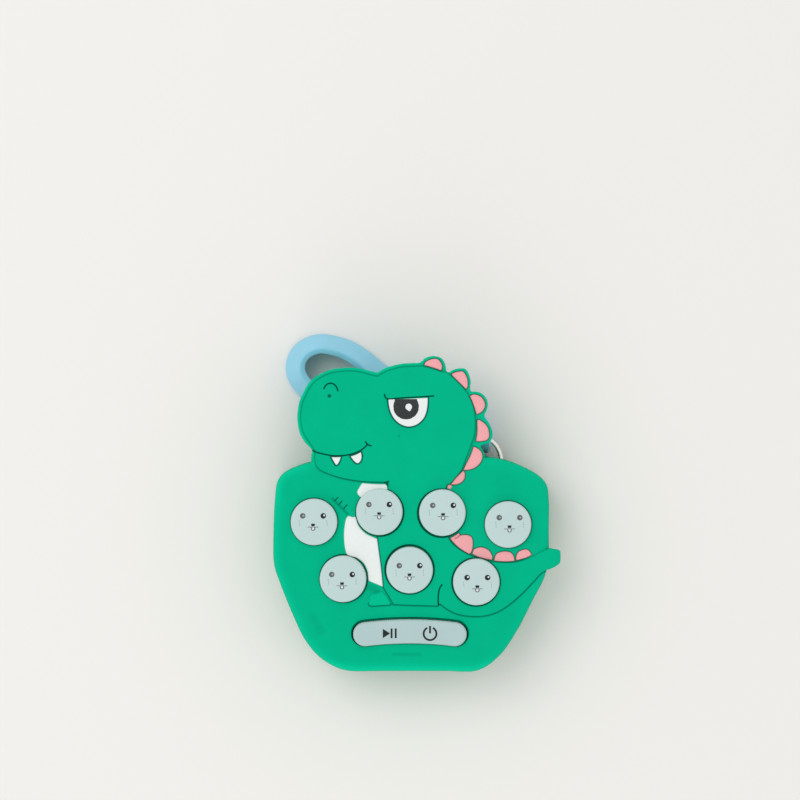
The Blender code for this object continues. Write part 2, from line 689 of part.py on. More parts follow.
def make_front_shell():
    """The hard front shell, which holds the buttons and clamps the board."""
    outer = front_outline()
    shell = prism("front_shell", outer, REAR_DEPTH - LIP_LENGTH, FRONT_TOP)
    inner = inset(outer, FRONT_WALL)
    lip_bottom = REAR_DEPTH - LIP_LENGTH - OVERRUN
    cut(shell, prism("inside", inner, lip_bottom, FRONT_PLATE_BOTTOM))
    for place in button_places():
        room = circle(BUTTON_RADIUS + FLANGE_REACH + SEAT_GAP, BUTTON_SIDES, place)
        cut(shell, prism("flange_room", room, lip_bottom, FRONT_PLATE_BOTTOM))
    for place in boss_places():
        boss = circle(BOSS_RADIUS, SMALL_SIDES, place)
        join(shell, prism("boss", boss, BOARD_BOTTOM, FRONT_PLATE_BOTTOM + FRONT_PLATE / 2))
        pilot = circle(SCREW_RADIUS + SCREW_PLAY, SMALL_SIDES, place)
        pilot_end = screw_head_bottom() + SCREW_LENGTH + SEAT_GAP
        cut(shell, prism("pilot", pilot, lip_bottom, pilot_end))
    for place in button_places():
        hole = circle(BUTTON_RADIUS + BUTTON_PLAY, BUTTON_SIDES, place)
        cut(shell, prism("hole", hole, FRONT_PLATE_BOTTOM - OVERRUN, FRONT_TOP + OVERRUN))
    cut(shell, prism("slot", bar_outline(BUTTON_PLAY), FRONT_PLATE_BOTTOM - OVERRUN, FRONT_TOP + OVERRUN))
    return finish(shell, "green_shell")


def screw_head_bottom():
    """The level where each screw head bears, at the top of its counterbore."""
    return SCREW_SINK + SCREW_HEAD_HEIGHT


def make_rear_shell():
    """The hard rear shell with its cell bay, screw bosses, speaker fence, alcove and lug."""
    shell = prism("rear_shell", shield(), 0.0, REAR_DEPTH, 0.0, BACK_ROUNDING)
    inner = inset(shield(), REAR_WALL)
    cut(shell, prism("inside", inner, BACK_PLATE, REAR_DEPTH + OVERRUN))
    add_bay(shell)
    add_alcove(shell)
    for place in boss_places():
        post = circle(BOSS_RADIUS, SMALL_SIDES, place)
        join(shell, prism("post", post, BACK_PLATE / 2, BOARD_BOTTOM - SEAT_GAP))
        sink = circle(SCREW_HEAD_RADIUS + SEAT_GAP, SMALL_SIDES, place)
        cut(shell, prism("sink", sink, -OVERRUN, screw_head_bottom() + SEAT_GAP))
        shank = circle(SCREW_RADIUS + SEAT_GAP, SMALL_SIDES, place)
        cut(shell, prism("shank", shank, 0.0, BOARD_BOTTOM + OVERRUN))
    x, y = body_place(SPEAKER_SHARE)
    reach = SPEAKER_RADIUS + SEAT_GAP
    fence_top = BACK_PLATE + SPEAKER_FENCE_HEIGHT
    profile = ((reach, BACK_PLATE / 2), (reach + SPEAKER_FENCE_WALL, BACK_PLATE / 2),
               (reach + SPEAKER_FENCE_WALL, fence_top), (reach, fence_top))
    join(shell, turned("fence", profile, CELL_SIDES, (x, y)))
    for place in [(x, y)] + circle(SOUND_HOLE_RING_RADIUS, SOUND_HOLE_COUNT, (x, y)):
        hole = circle(SOUND_HOLE_RADIUS, SMALL_SIDES, place)
        cut(shell, prism("sound_hole", hole, -OVERRUN, BACK_PLATE + OVERRUN))
    lip_level = REAR_DEPTH - LIP_LENGTH - SEAT_GAP
    lip_room = prism("lip_room", inset(shield(), REAR_WALL), lip_level, REAR_DEPTH + OVERRUN)
    core = inset(front_outline(), FRONT_WALL + SEAT_GAP)
    cut(lip_room, prism("core", core, 0.0, FRONT_TOP))
    cut(shell, lip_room)
    return finish(shell, "green_shell")


def add_bay(shell):
    """The walls and roof round the cells, the door's recess and its screw boss."""
    x, y = body_place(BAY_CENTRE_SHARE)
    half_width, half_length = bay_size()
    low = (x - half_width, y - half_length)
    high = (x + half_width, y + half_length)
    door_low, door_high = door_corners()
    rim = SEAT_GAP + BAY_WALL
    join(shell, box("bay", (door_low[0] - rim, door_low[1] - rim, BACK_PLATE / 2),
                    (door_high[0] + rim, door_high[1] + rim, ROOF_TOP)))
    screw_x, screw_y = door_screw_place()
    pillar = circle(DOOR_EAR_RADIUS + BAY_WALL, CELL_SIDES, (screw_x, screw_y))
    boss_top = DOOR_THICKNESS + SEAT_GAP + DOOR_SCREW_LENGTH
    join(shell, prism("door_boss", pillar, BACK_PLATE / 2, boss_top + BAY_WALL))
    cut(shell, box("cell_room", (*low, DOOR_THICKNESS / 2), (*high, ROOF_BOTTOM)))
    gap = SEAT_GAP
    recess_top = DOOR_THICKNESS + gap
    cut(shell, box("recess", (door_low[0] - gap, door_low[1] - gap, -OVERRUN),
                   (door_high[0] + gap, door_high[1] + gap, recess_top)))
    ear = circle(DOOR_EAR_RADIUS + gap, CELL_SIDES, (screw_x, screw_y))
    cut(shell, prism("ear_recess", ear, -OVERRUN, recess_top))
    screw_hole = circle(DOOR_SCREW_RADIUS + DOOR_SCREW_SWING, SMALL_SIDES, (screw_x, screw_y))
    cut(shell, prism("screw_hole", screw_hole, 0.0, boss_top + gap))
    axis = door_hinge()
    reach = DOOR_PIN_LENGTH + gap * 2
    cut(shell, bar_across("pin_holes", DOOR_PIN_RADIUS + SCREW_PLAY, door_low[0] - reach,
                          door_high[0] + reach, axis[1], axis[2]))


def add_alcove(shell):
    """The open alcove at the top edge and the lug that stands in it."""
    low, high = alcove_corners(ALCOVE_WALL)
    roof = ALCOVE_ROOM + ALCOVE_WALL
    block = box("block", (*low, BACK_PLATE / 2), (*high, roof))
    combine(block, prism("limit", inset(shield(), REAR_WALL / 2), 0.0, REAR_DEPTH), "INTERSECT")
    join(shell, block)
    low, high = alcove_corners()
    cut(shell, box("alcove", (*low, -OVERRUN), (*high, ALCOVE_ROOM)))
    x, y, level = lug_axis()
    radius = LUG_HOLE_RADIUS + LUG_WALL
    half = LUG_THICKNESS / 2
    lug = bar_across("lug", radius, x - half, x + half, y, level, CELL_SIDES)
    join(shell, lug)
    reach = half + OVERRUN
    cut(shell, bar_across("eye", LUG_HOLE_RADIUS, x - reach, x + reach, y, level, CELL_SIDES))


def make_door():
    """The battery door with its hinge pins and screw ear."""
    low, high = door_corners()
    axis = door_hinge()
    edge = DOOR_THICKNESS / 2
    door = box("battery_door", (low[0], low[1] + edge, 0.0), (*high, DOOR_THICKNESS))
    join(door, bar_across("hinge_edge", edge, low[0], high[0], axis[1], axis[2]))
    pin_ends = (low[0] - DOOR_PIN_LENGTH, high[0] + DOOR_PIN_LENGTH)
    join(door, bar_across("pins", DOOR_PIN_RADIUS, *pin_ends, axis[1], axis[2]))
    place = door_screw_place()
    join(door, prism("ear", circle(DOOR_EAR_RADIUS, CELL_SIDES, place), 0.0, DOOR_THICKNESS))
    sink = circle(DOOR_SCREW_HEAD_RADIUS + SEAT_GAP, SMALL_SIDES, place)
    cut(door, prism("sink", sink, -OVERRUN, DOOR_SCREW_HEAD_HEIGHT + SEAT_GAP))
    shank = circle(DOOR_SCREW_RADIUS + SEAT_GAP, SMALL_SIDES, place)
    cut(door, prism("shank", shank, -OVERRUN, DOOR_THICKNESS + OVERRUN))
    return finish(door, "green_shell", axis)


def make_screw(name, place, level, head_radius, head_height, radius, length):
    """A screw that points up from its head, with a straight slot."""
    profile = ((0.0, level), (head_radius, level), (head_radius, level + head_height),
               (radius, level + head_height), (radius, level + length), (0.0, level + length))
    screw = turned(name, profile, SMALL_SIDES, place)
    x, y = place
    half = SCREW_SLOT_WIDTH / 2
    cut(screw, box("slot", (x - head_radius - OVERRUN, y - half, level - OVERRUN),
                   (x + head_radius + OVERRUN, y + half, level + head_height * SCREW_SLOT_SHARE)))
    return finish(screw, "steel", (x, y, level))


def make_screws():
    """The four case screws and the door's captive screw."""
    for number, place in enumerate(boss_places(), 1):
        make_screw(f"case_screw_{number}", place, SCREW_SINK, SCREW_HEAD_RADIUS,
                   SCREW_HEAD_HEIGHT, SCREW_RADIUS, SCREW_HEAD_HEIGHT + SCREW_LENGTH)
    make_screw("door_screw", door_screw_place(), 0.0, DOOR_SCREW_HEAD_RADIUS,
               DOOR_SCREW_HEAD_HEIGHT, DOOR_SCREW_RADIUS, DOOR_SCREW_LENGTH + DOOR_THICKNESS)


def make_cells():
    """The coin cells with their stepped cans, and the three contact plates."""
    half = CELL_DIAMETER / 2
    top = CELL_BOTTOM + CELL_HEIGHT
    step = CELL_STEP
    for number, place in enumerate(cell_places(), 1):
        levels = [CELL_BOTTOM, CELL_BOTTOM + CELL_HEIGHT - step, top]
        profile = ((0.0, levels[0]), (half, levels[0]), (half, levels[1]),
                   (half - step, levels[2]), (0.0, levels[2]))
        finish(turned(f"coin_cell_{number}", profile, CELL_SIDES, place), "nickel")
    places = cell_places()
    plates = (("door_contact", places[0], places[1], DOOR_CONTACT_BOTTOM),
              ("roof_bridge_contact", places[1], places[2], ROOF_CONTACT_BOTTOM),
              ("roof_end_contact", places[0], places[0], ROOF_CONTACT_BOTTOM))
    margin = CONTACT_WIDTH / 2
    for name, first, last, level in plates:
        low = (first[0] - margin, first[1] - margin, level)
        high = (last[0] + margin, last[1] + margin, level + CONTACT_THICKNESS)
        finish(box(name, low, high), "nickel")


def make_board():
    """The circuit board, its chip and lamps, and the speaker."""
    outline = inset(front_outline(), FRONT_WALL + SEAT_GAP)
    board = prism("circuit_board", outline, BOARD_BOTTOM, BOARD_TOP)
    for place in boss_places():
        notch = circle(BOSS_RADIUS + SEAT_GAP, SMALL_SIDES, place)
        cut(board, prism("notch", notch, BOARD_BOTTOM - OVERRUN, BOARD_TOP + OVERRUN))
    finish(board, "board")
    for number, (x, y) in enumerate(button_places(), 1):
        low = (x - LED_LENGTH / 2, y - LED_WIDTH / 2, BOARD_TOP + SEAT_GAP)
        high = (x + LED_LENGTH / 2, y + LED_WIDTH / 2, low[2] + LED_HEIGHT)
        finish(box(f"lamp_{number}", low, high), "led")
    face = BOARD_BOTTOM - SEAT_GAP
    crown_radius, crown_height = (CHIP_RADIUS * CHIP_CROWN_SHARES[0], CHIP_HEIGHT * CHIP_CROWN_SHARES[1])
    profile = ((0.0, face - CHIP_HEIGHT), (crown_radius, face - crown_height), (CHIP_RADIUS, face),
               (0.0, face))
    finish(turned("chip_blob", profile, SMALL_SIDES, body_place(CHIP_SHARE)), "epoxy")
    base = BACK_PLATE + SEAT_GAP
    shoulder = base + SPEAKER_HEIGHT * SPEAKER_MAGNET_SHARES[1]
    magnet = SPEAKER_RADIUS * SPEAKER_MAGNET_SHARES[0]
    profile = ((0.0, base), (SPEAKER_RADIUS, base), (SPEAKER_RADIUS, shoulder), (magnet, shoulder),
               (magnet, base + SPEAKER_HEIGHT), (0.0, base + SPEAKER_HEIGHT))
    finish(turned("speaker", profile, CELL_SIDES, body_place(SPEAKER_SHARE)), "speaker")


def make_buttons():
    """The seven mole buttons, each over its springy silicone ring."""
    flange = BUTTON_RADIUS + FLANGE_REACH
    ceiling = BUTTON_TOP - BUTTON_CEILING
    for number, place in enumerate(button_places(), 1):
        profile = (
            (0.0, ceiling), (BUTTON_HOLLOW_RADIUS, ceiling), (BUTTON_HOLLOW_RADIUS, FLANGE_BOTTOM),
            (flange, FLANGE_BOTTOM), (flange, FLANGE_TOP), (BUTTON_RADIUS, FLANGE_TOP),
            (BUTTON_RADIUS, BUTTON_TOP - BUTTON_EDGE), (BUTTON_RADIUS - BUTTON_EDGE, BUTTON_TOP),
            (0.0, BUTTON_TOP),
        )
        button = turned(f"mole_button_{number}", profile, BUTTON_SIDES, place)
        finish(button, "clear_cap", (*place, FLANGE_BOTTOM))
        inner = BUTTON_HOLLOW_RADIUS + SEAT_GAP
        top = PAD_BOTTOM + PAD_HEIGHT
        splay = PAD_WALL / 2
        profile = ((inner + splay, PAD_BOTTOM), (inner + splay + PAD_WALL, PAD_BOTTOM),
                   (inner + PAD_WALL, top), (inner, top))
        pad = turned(f"spring_pad_{number}", profile, CELL_SIDES, place)
        finish(pad, "silicone", (*place, PAD_BOTTOM))


def bar_pivot():
    """A point on the function bar's rocking axis, which runs along Y."""
    return (*body_place(BAR_SHARE), (FLANGE_BOTTOM + BAR_TOP) / 2)


def make_bar():
    """The rocking function bar with its retaining ears, and the silicone strip under it."""
    bar = prism("function_bar", bar_outline(), FLANGE_BOTTOM, BAR_TOP, BUTTON_EDGE)
    x, y = body_place(BAR_SHARE)
    ear_top = FRONT_PLATE_BOTTOM - BAR_EAR_GAP
    reach = BAR_WIDTH / 2 + BAR_EAR_REACH
    join(bar, box("ears", (x - BAR_EAR_LENGTH / 2, y - reach, FLANGE_BOTTOM),
                  (x + BAR_EAR_LENGTH / 2, y + reach, ear_top)))
    finish(bar, "clear_cap", bar_pivot())
    half_length = BAR_PAD_SPACING / 2 + BAR_PAD_RADIUS + BAR_STRIP_THICKNESS
    half_width = BAR_STRIP_WIDTH / 2
    strip_top = PAD_BOTTOM + BAR_STRIP_THICKNESS
    strip = box("bar_pad_strip", (x - half_length, y - half_width, PAD_BOTTOM),
                (x + half_length, y + half_width, strip_top))
    dome_top = FLANGE_BOTTOM - BAR_EAR_GAP
    for side in (-1, 1):
        place = (x + side * BAR_PAD_SPACING / 2, y)
        profile = ((0.0, PAD_BOTTOM + BAR_STRIP_THICKNESS / 2),
                   (BAR_PAD_RADIUS, PAD_BOTTOM + BAR_STRIP_THICKNESS / 2),
                   (BAR_PAD_RADIUS - BAR_STRIP_THICKNESS, dome_top), (0.0, dome_top))
        join(strip, turned("dome", profile, SMALL_SIDES, place))
    finish(strip, "silicone")


def make_ring():
    """The split ring: two turns of flat wire with one step between them."""
    centre = Vector(ring_centre())
    kink = math.radians(RING_KINK_DEGREES)
    pitch = RING_WIRE_HEIGHT + RING_TURN_GAP
    count = 2 * RING_STEPS_PER_TURN
    start = kink / 2
    span = 4 * math.pi - kink
    half_width = RING_WIRE_WIDTH / 2
    half_height = RING_WIRE_HEIGHT / 2
    loops = []
    for i in range(count + 1):
        turn = start + span * i / count
        share = min(max((turn - 2 * math.pi + kink / 2) / kink, 0.0), 1.0)
        level = pitch * (share * share * (3 - 2 * share) - 0.5)
        out = Vector((math.cos(turn + math.pi), math.sin(turn + math.pi), 0.0))
        middle = centre + out * RING_RADIUS + Vector((0.0, 0.0, level))
        corners = ((-1, -1), (1, -1), (1, 1), (-1, 1))
        rise = Vector((0.0, 0.0, half_height))
        loops.append([middle + out * (a * half_width) + rise * b for a, b in corners])
    return finish(loft("split_ring", loops), "nickel", lug_axis())


def strap_frame():
    """The plan directions across and along the strap where it leaves the ring."""
    heading = math.radians(STRAP_HEADING_DEGREES - 90)
    across = Vector((math.cos(heading), math.sin(heading)))
    return across, Vector((-across.y, across.x))


def strap_stations():
    """Each station of the strap's route: x, y, lift off the floor, lean from upright and width."""
    origin = Vector(strap_hinge()[:2])
    across, along = strap_frame()
    lift = STRAP_EYE_RADIUS * 2 + STRAP_THICKNESS
    neck_end, full_start = STRAP_NECK_SHARES
    found = []
    for x_share, y_share, degrees, lift_share in STRAP_ROUTE_SHARES:
        place = origin + STRAP_LENGTH * (x_share * across + y_share * along)
        reach = math.hypot(x_share, y_share)
        widened = min(max((reach - neck_end) / (full_start - neck_end), 0.0), 1.0)
        width = STRAP_NECK_WIDTH + (STRAP_WIDTH - STRAP_NECK_WIDTH) * widened
        found.append((place.x, place.y, lift_share * lift, math.radians(degrees), width))
    return found


def strap_middle(lift, lean, width):
    """The height of the strap's middle, with its lowest corner lifted this far off the floor."""
    return max(lift, 0.0) + (width * abs(math.cos(lean)) + STRAP_THICKNESS * abs(math.sin(lean))) / 2


def strap_section(middle, wide, thick, width):
    """The four corners of the strap's flat section."""
    corners = ((-1, -1), (1, -1), (1, 1), (-1, 1))
    half_thickness = STRAP_THICKNESS / 2
    return [middle + wide * (a * width / 2) + thick * (b * half_thickness) for a, b in corners]


def make_strap():
    """The soft strap: one moulded band through the ring, on its edge at the far end."""
    stations = smooth_outline(strap_stations(), STRAP_STEPS, closed=False)
    rise = Vector((0.0, 0.0, 1.0))
    loops = []
    for i, (x, y, lift, lean, width) in enumerate(stations):
        before = Vector(stations[max(i - 1, 0)][:2])
        after = Vector(stations[min(i + 1, len(stations) - 1)][:2])
        forward = (after - before).normalized()
        out = Vector((forward.y, -forward.x, 0.0))
        wide = rise * math.cos(lean) - out * math.sin(lean)
        thick = out * math.cos(lean) + rise * math.sin(lean)
        middle = Vector((x, y, strap_middle(lift, lean, width)))
        loops.append(strap_section(middle, wide, thick, width))
    across, along = (axis.to_3d() for axis in strap_frame())
    radius = STRAP_EYE_RADIUS + STRAP_THICKNESS / 2
    centre = Vector(strap_hinge())
    for step in range(1, STRAP_TURN_STEPS):
        angle = math.pi * step / STRAP_TURN_STEPS
        thick = -along * math.sin(angle) - rise * math.cos(angle)
        loops.append(strap_section(centre + thick * radius, -across, thick, STRAP_NECK_WIDTH))
    strap = loft("strap", loops, endless=True)
    cut(strap, make_rivet("rivet_room", RIVET_PLAY))
    finish(strap, "blue_strap", strap_hinge())
    finish(make_rivet("strap_rivet"), "nickel", strap_hinge())


def make_rivet(name, grow=0.0):
    """The rivet that pinches the strap's two layers, larger all round by the amount."""
    upper, lower = (strap_stations()[i] for i in RIVET_STATIONS)
    place = ((upper[0] + lower[0]) / 2, (upper[1] + lower[1]) / 2)
    reach = STRAP_THICKNESS / 2 + SEAT_GAP
    under, over = strap_middle(*lower[2:]) - reach, strap_middle(*upper[2:]) + reach
    head = RIVET_HEAD_RADIUS + grow
    pin = RIVET_RADIUS + grow
    profile = (
        (0.0, under - RIVET_HEAD_HEIGHT - grow), (head, under - RIVET_HEAD_HEIGHT - grow),
        (head, under + grow), (pin, under + grow), (pin, over - grow), (head, over - grow),
        (head, over + RIVET_HEAD_HEIGHT + grow), (0.0, over + RIVET_HEAD_HEIGHT + grow),
    )
    return turned(name, profile, SMALL_SIDES, place)


def main():
    """Clears the scene and builds every piece."""
    for old in list(bpy.data.objects):
        bpy.data.objects.remove(old, do_unlink=True)
    cover = make_cover()
    make_inlays(cover)
    finish(cover, "green_soft")
    make_front_shell()
    make_rear_shell()
    make_door()
    make_screws()
    make_cells()
    make_board()
    make_buttons()
    make_bar()
    make_ring()
    make_strap()


main()
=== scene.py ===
"""Keychain memory game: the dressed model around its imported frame, with studio light and camera."""

import logging
import math
from collections.abc import Callable, Sequence
from dataclasses import dataclass, replace
from enum import Enum
from functools import cache

import bmesh
import bpy
import numpy as np
from mathutils import Matrix, Vector
from mathutils.geometry import delaunay_2d_cdt


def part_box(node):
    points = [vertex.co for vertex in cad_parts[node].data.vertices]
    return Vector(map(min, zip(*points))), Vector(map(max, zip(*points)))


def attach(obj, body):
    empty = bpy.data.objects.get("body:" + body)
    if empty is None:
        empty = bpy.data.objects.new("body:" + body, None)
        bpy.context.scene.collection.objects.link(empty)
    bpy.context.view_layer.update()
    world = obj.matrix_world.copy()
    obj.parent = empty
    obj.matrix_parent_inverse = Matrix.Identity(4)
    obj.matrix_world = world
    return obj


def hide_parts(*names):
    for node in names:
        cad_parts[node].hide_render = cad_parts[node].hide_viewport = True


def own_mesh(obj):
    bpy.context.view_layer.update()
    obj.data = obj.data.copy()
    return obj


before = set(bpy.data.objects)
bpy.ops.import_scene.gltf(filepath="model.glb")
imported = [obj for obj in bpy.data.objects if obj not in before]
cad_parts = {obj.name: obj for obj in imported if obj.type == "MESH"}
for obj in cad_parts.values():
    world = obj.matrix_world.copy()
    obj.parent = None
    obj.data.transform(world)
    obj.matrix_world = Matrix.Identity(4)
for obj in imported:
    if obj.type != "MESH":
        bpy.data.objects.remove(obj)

log = logging.getLogger("memory_game")

MM = 0.001
# The mesh attribute that holds painted light and shade: above zero painted shade in grooves, seams and
# gaps, below zero painted light on outer edges
SHADE = "recess"
Array = np.ndarray
Piece = bpy.types.Object
Socket = bpy.types.NodeSocket
Pair = tuple[float, float]
Outline = Sequence[Pair]
Colour = tuple[int, int, int]
Height = Array | float


class Slot(Enum):
    """The record's material slots."""

    GREEN = "green_soft"
    PINK = "pink_soft"
    WHITE = "white_soft"
    BLACK = "black_soft"
    SHELL = "green_shell"
    CAP = "clear_cap"
    SILICONE = "silicone"
    BOARD = "board"
    EPOXY = "epoxy"
    LAMP = "led"
    SPEAKER = "speaker"
    STEEL = "steel"
    NICKEL = "nickel"
    STRAP = "blue_strap"


# Outlines of the moulded cover, in millimetres seen from the front

SHIELD = (
    (20.16, 20.02), (9.95, 20.81), (-0.06, 21.01), (-10.08, 20.81), (-20.28, 19.88), (-27.48, 17.71),
    (-30.3, 15.2), (-31.05, 10.68), (-31.36, 3.89), (-31.3, -3.39), (-29.92, -8.17), (-26.79, -15.89),
    (-23.98, -21.5), (-20.16, -25.68), (-14.84, -28.14), (-7.14, -28.29), (-0.06, -28.29), (7.64, -28.29),
    (14.96, -28.19), (20.16, -24.7), (24.23, -18.84), (27.67, -12.15), (30.36, -6.84), (31.24, -2.07),
    (31.3, 3.89), (31.3, 10.68), (30.49, 14.66), (26.86, 17.52),
)
SHIELD_LOW = (-31.43, -28.45)
SHIELD_HIGH = (31.43, 50.0)
FLAP = (
    (-22.7, 19.43), (-22.7, 21.23), (-22.61, 22.05), (-24.23, 23.86), (-25.3, 25.68), (-25.82, 27.95),
    (-25.91, 30.0), (-25.66, 32.14), (-25.3, 33.41), (-23.89, 36.36), (-22.61, 38.05), (-20.68, 39.32),
    (-18.48, 40.3), (-15.98, 40.68), (-13.93, 40.8), (-11.66, 40.57), (-9.39, 40.0), (-7.7, 39.66),
    (-7.7, 39.66), (-5.64, 40.77), (-2.57, 41.59), (0.16, 41.82), (1.91, 41.91), (3.34, 43.02),
    (5.11, 43.41), (6.89, 42.86), (7.75, 41.43), (7.93, 40.11), (8.5, 39.68), (9.59, 40.3), (11.11, 40.61),
    (12.2, 40.5), (12.98, 39.55), (13.48, 37.77), (13.39, 36.02), (13.68, 35.34), (15.05, 35.27),
    (16.36, 34.61), (17.2, 33.41), (17.39, 32.09), (17.02, 30.8), (16.57, 30.0), (16.86, 29.09),
    (17.66, 28.18), (18.34, 26.59), (18.5, 25.55), (18.2, 24.32), (17.2, 23.45), (15.95, 23.14),
    (15.73, 22.77), (16.36, 21.82), (16.8, 20.73), (17.2, 20.0), (17.2, 16.36), (13.34, 14.6), (6.52, 14.2),
    (-5.0, 14.6), (-7.11, 15.4), (-18.48, 17.0), (-21.66, 18.2),
)
DINOSAUR = (
    (-21.8, 19.43), (-21.84, 20.91), (-21.75, 21.86), (-23.34, 24.23), (-24.41, 26.0), (-24.93, 28.09),
    (-25.02, 29.98), (-24.77, 31.98), (-24.43, 33.14), (-23.11, 35.86), (-21.93, 37.41), (-20.25, 38.55),
    (-18.25, 39.43), (-15.89, 39.8), (-13.93, 39.91), (-11.8, 39.7), (-9.57, 39.11), (-7.66, 38.68),
    (-7.66, 38.68), (-5.43, 39.89), (-2.43, 40.73), (0.2, 40.93), (2.55, 41.0), (5.23, 40.32),
    (6.66, 39.82), (8.11, 39.55), (10.89, 37.18), (13.09, 34.23), (14.16, 31.41), (14.52, 28.27),
    (14.3, 25.45), (13.34, 22.59), (12.24, 19.73), (11.42, 17.6), (10.25, 15.88), (9.02, 14.5),
    (7.9, 13.55), (7.2, 7.95), (8.68, 1.64), (12.8, -1.66), (17.77, -3.18), (18.8, -3.45), (23.34, -3.5),
    (27.16, -2.41), (29.25, -1.23), (31.39, -0.36), (32.39, -0.5), (33.41, -0.66), (33.86, -1.0),
    (33.91, -1.59), (33.89, -3.18), (33.41, -4.0), (32.11, -4.77), (29.77, -5.75), (27.73, -7.84),
    (25.11, -10.57), (22.2, -13.09), (19.3, -14.84), (16.36, -15.64), (13.45, -15.7), (10.55, -15.23),
    (8.2, -14.11), (6.61, -12.95), (5.95, -13.36), (5.95, -13.36), (0.84, -13.23), (-3.98, -13.05),
    (-3.98, -13.05), (-5.07, -11.14), (-6.36, -9.0), (-6.36, -9.0), (-6.61, -6.09), (-7.18, -2.16),
    (-7.61, 1.43), (-7.61, 1.43), (-7.34, 7.95), (-5.18, 13.86), (-5.18, 13.86), (-5.7, 14.68),
    (-9.48, 14.86), (-12.68, 15.14), (-15.89, 15.75), (-19.16, 16.82), (-21.02, 17.82),
)
FOOT = (
    (-9.16, -10.91), (-8.14, -10.27), (-7.05, -10.05), (-6.39, -10.32), (-5.3, -11.82), (-4.66, -13.09),
    (-4.66, -13.09), (-7.11, -13.27), (-9.32, -13.32), (-9.61, -12.66), (-9.48, -11.59),
)
HEAD_SPIKES = (
    ((2.89, 41.3), (2.89, 41.3), (3.34, 42.14), (4.93, 42.77), (6.23, 42.55), (7.05, 41.14), (6.8, 40.05),
     (6.8, 40.05), (5.27, 40.61)),
    ((9.14, 39.09), (9.14, 39.09), (9.59, 39.57), (11.11, 39.93), (11.98, 39.7), (12.7, 38.41),
     (12.86, 37.11), (12.75, 36.25), (12.34, 35.86), (12.34, 35.86), (11.89, 36.36), (10.45, 37.73)),
    ((13.3, 34.09), (13.3, 34.09), (13.64, 34.55), (14.61, 34.66), (15.91, 34.09), (16.68, 32.95),
     (16.75, 31.89), (16.14, 30.8), (15.16, 30.23), (14.8, 30.18), (14.8, 30.18), (14.39, 31.43),
     (13.86, 32.95)),
    ((14.93, 28.7), (14.93, 28.7), (15.39, 28.93), (16.48, 28.27), (17.34, 27.27), (17.7, 25.98),
     (17.66, 24.89), (17.02, 24.23), (15.7, 23.98), (14.7, 24.02), (14.7, 24.02), (14.8, 25.0),
     (14.98, 26.2)),
    ((14.11, 22.77), (14.11, 22.77), (14.61, 22.7), (15.7, 21.93), (16.18, 20.84), (15.91, 19.43),
     (14.82, 18.23), (13.52, 17.61), (12.2, 17.45), (11.8, 17.5), (11.8, 17.5), (12.55, 19.09),
     (13.48, 20.95)),
    ((11.34, 16.95), (11.84, 17.3), (12.2, 16.7), (12.09, 15.5), (11.34, 14.61), (10.23, 14.18),
     (8.89, 14.18), (8.89, 14.18), (10.07, 15.68)),
)
TAIL_SPIKES = (
    ((8.8, 1.98), (8.8, 1.98), (9.59, 2.45), (10.25, 2.84), (10.84, 3.18), (11.14, 2.64), (11.14, 2.64),
     (12.09, 2.77), (13.16, 2.61), (13.93, 1.82), (13.98, 0.07), (13.64, -1.2), (13.16, -1.64),
     (13.16, -1.64), (11.52, -0.64), (10.02, 0.55)),
    ((13.84, -1.59), (13.84, -1.59), (14.14, -0.68), (14.91, -0.23), (16.07, -0.07), (17.55, -0.68),
     (18.39, -1.95), (18.41, -2.98), (18.41, -2.98), (16.41, -2.59), (14.93, -2.14)),
    ((18.89, -2.73), (19.43, -1.5), (21.02, -1.0), (22.66, -1.27), (23.41, -2.41), (23.41, -3.23),
     (23.41, -3.23), (21.07, -3.32), (18.93, -3.18), (18.93, -3.18)),
    ((23.8, -2.39), (24.25, -1.18), (25.55, -0.57), (26.57, -0.68), (27.43, -1.68), (27.43, -1.68),
     (26.57, -2.27), (25.3, -2.68), (23.89, -3.05), (23.89, -3.05)),
)
BELLY = (
    (-14.25, 7.11), (-14.25, 7.11), (-13.39, 6.82), (-12.66, 6.75), (-11.95, 4.82), (-10.43, 3.18),
    (-8.7, 2.27), (-7.75, 1.91), (-7.75, 1.91), (-7.43, -0.45), (-6.82, -5.0), (-6.5, -8.3), (-6.45, -9.05),
    (-6.45, -9.05), (-9.11, -7.95), (-9.73, -7.5), (-10.0, -5.45), (-10.86, -3.7), (-12.41, -2.5),
    (-13.93, -2.05), (-14.7, -1.59), (-15.14, 0.0), (-15.34, 2.64), (-15.14, 5.05), (-14.8, 6.48),
)
THROAT = (
    (-11.14, 14.55), (-11.14, 14.55), (-8.48, 14.32), (-5.84, 14.27), (-5.84, 14.27), (-5.43, 13.64),
    (-5.75, 12.27), (-8.25, 10.68), (-11.2, 11.14), (-12.3, 12.32), (-11.89, 13.43),
)
EYE = (
    (-5.23, 33.5), (-5.23, 33.5), (-5.07, 32.05), (-4.66, 30.57), (-3.82, 29.09), (-2.45, 27.91),
    (-0.64, 27.36), (1.3, 27.86), (2.75, 29.18), (3.45, 30.8), (3.7, 32.5), (3.75, 33.91), (3.75, 33.91),
    (-0.98, 33.7),
)
TEETH = (
    ((-18.14, 20.45), (-18.14, 20.45), (-17.07, 20.41), (-16.0, 20.48), (-16.0, 20.48), (-16.34, 19.43),
     (-16.98, 18.64), (-17.57, 19.36)),
    ((-13.8, 20.61), (-13.8, 20.61), (-12.57, 21.0), (-11.43, 21.59), (-11.43, 21.59), (-11.27, 20.5),
     (-11.52, 19.55), (-12.2, 19.02), (-13.02, 19.55)),
)
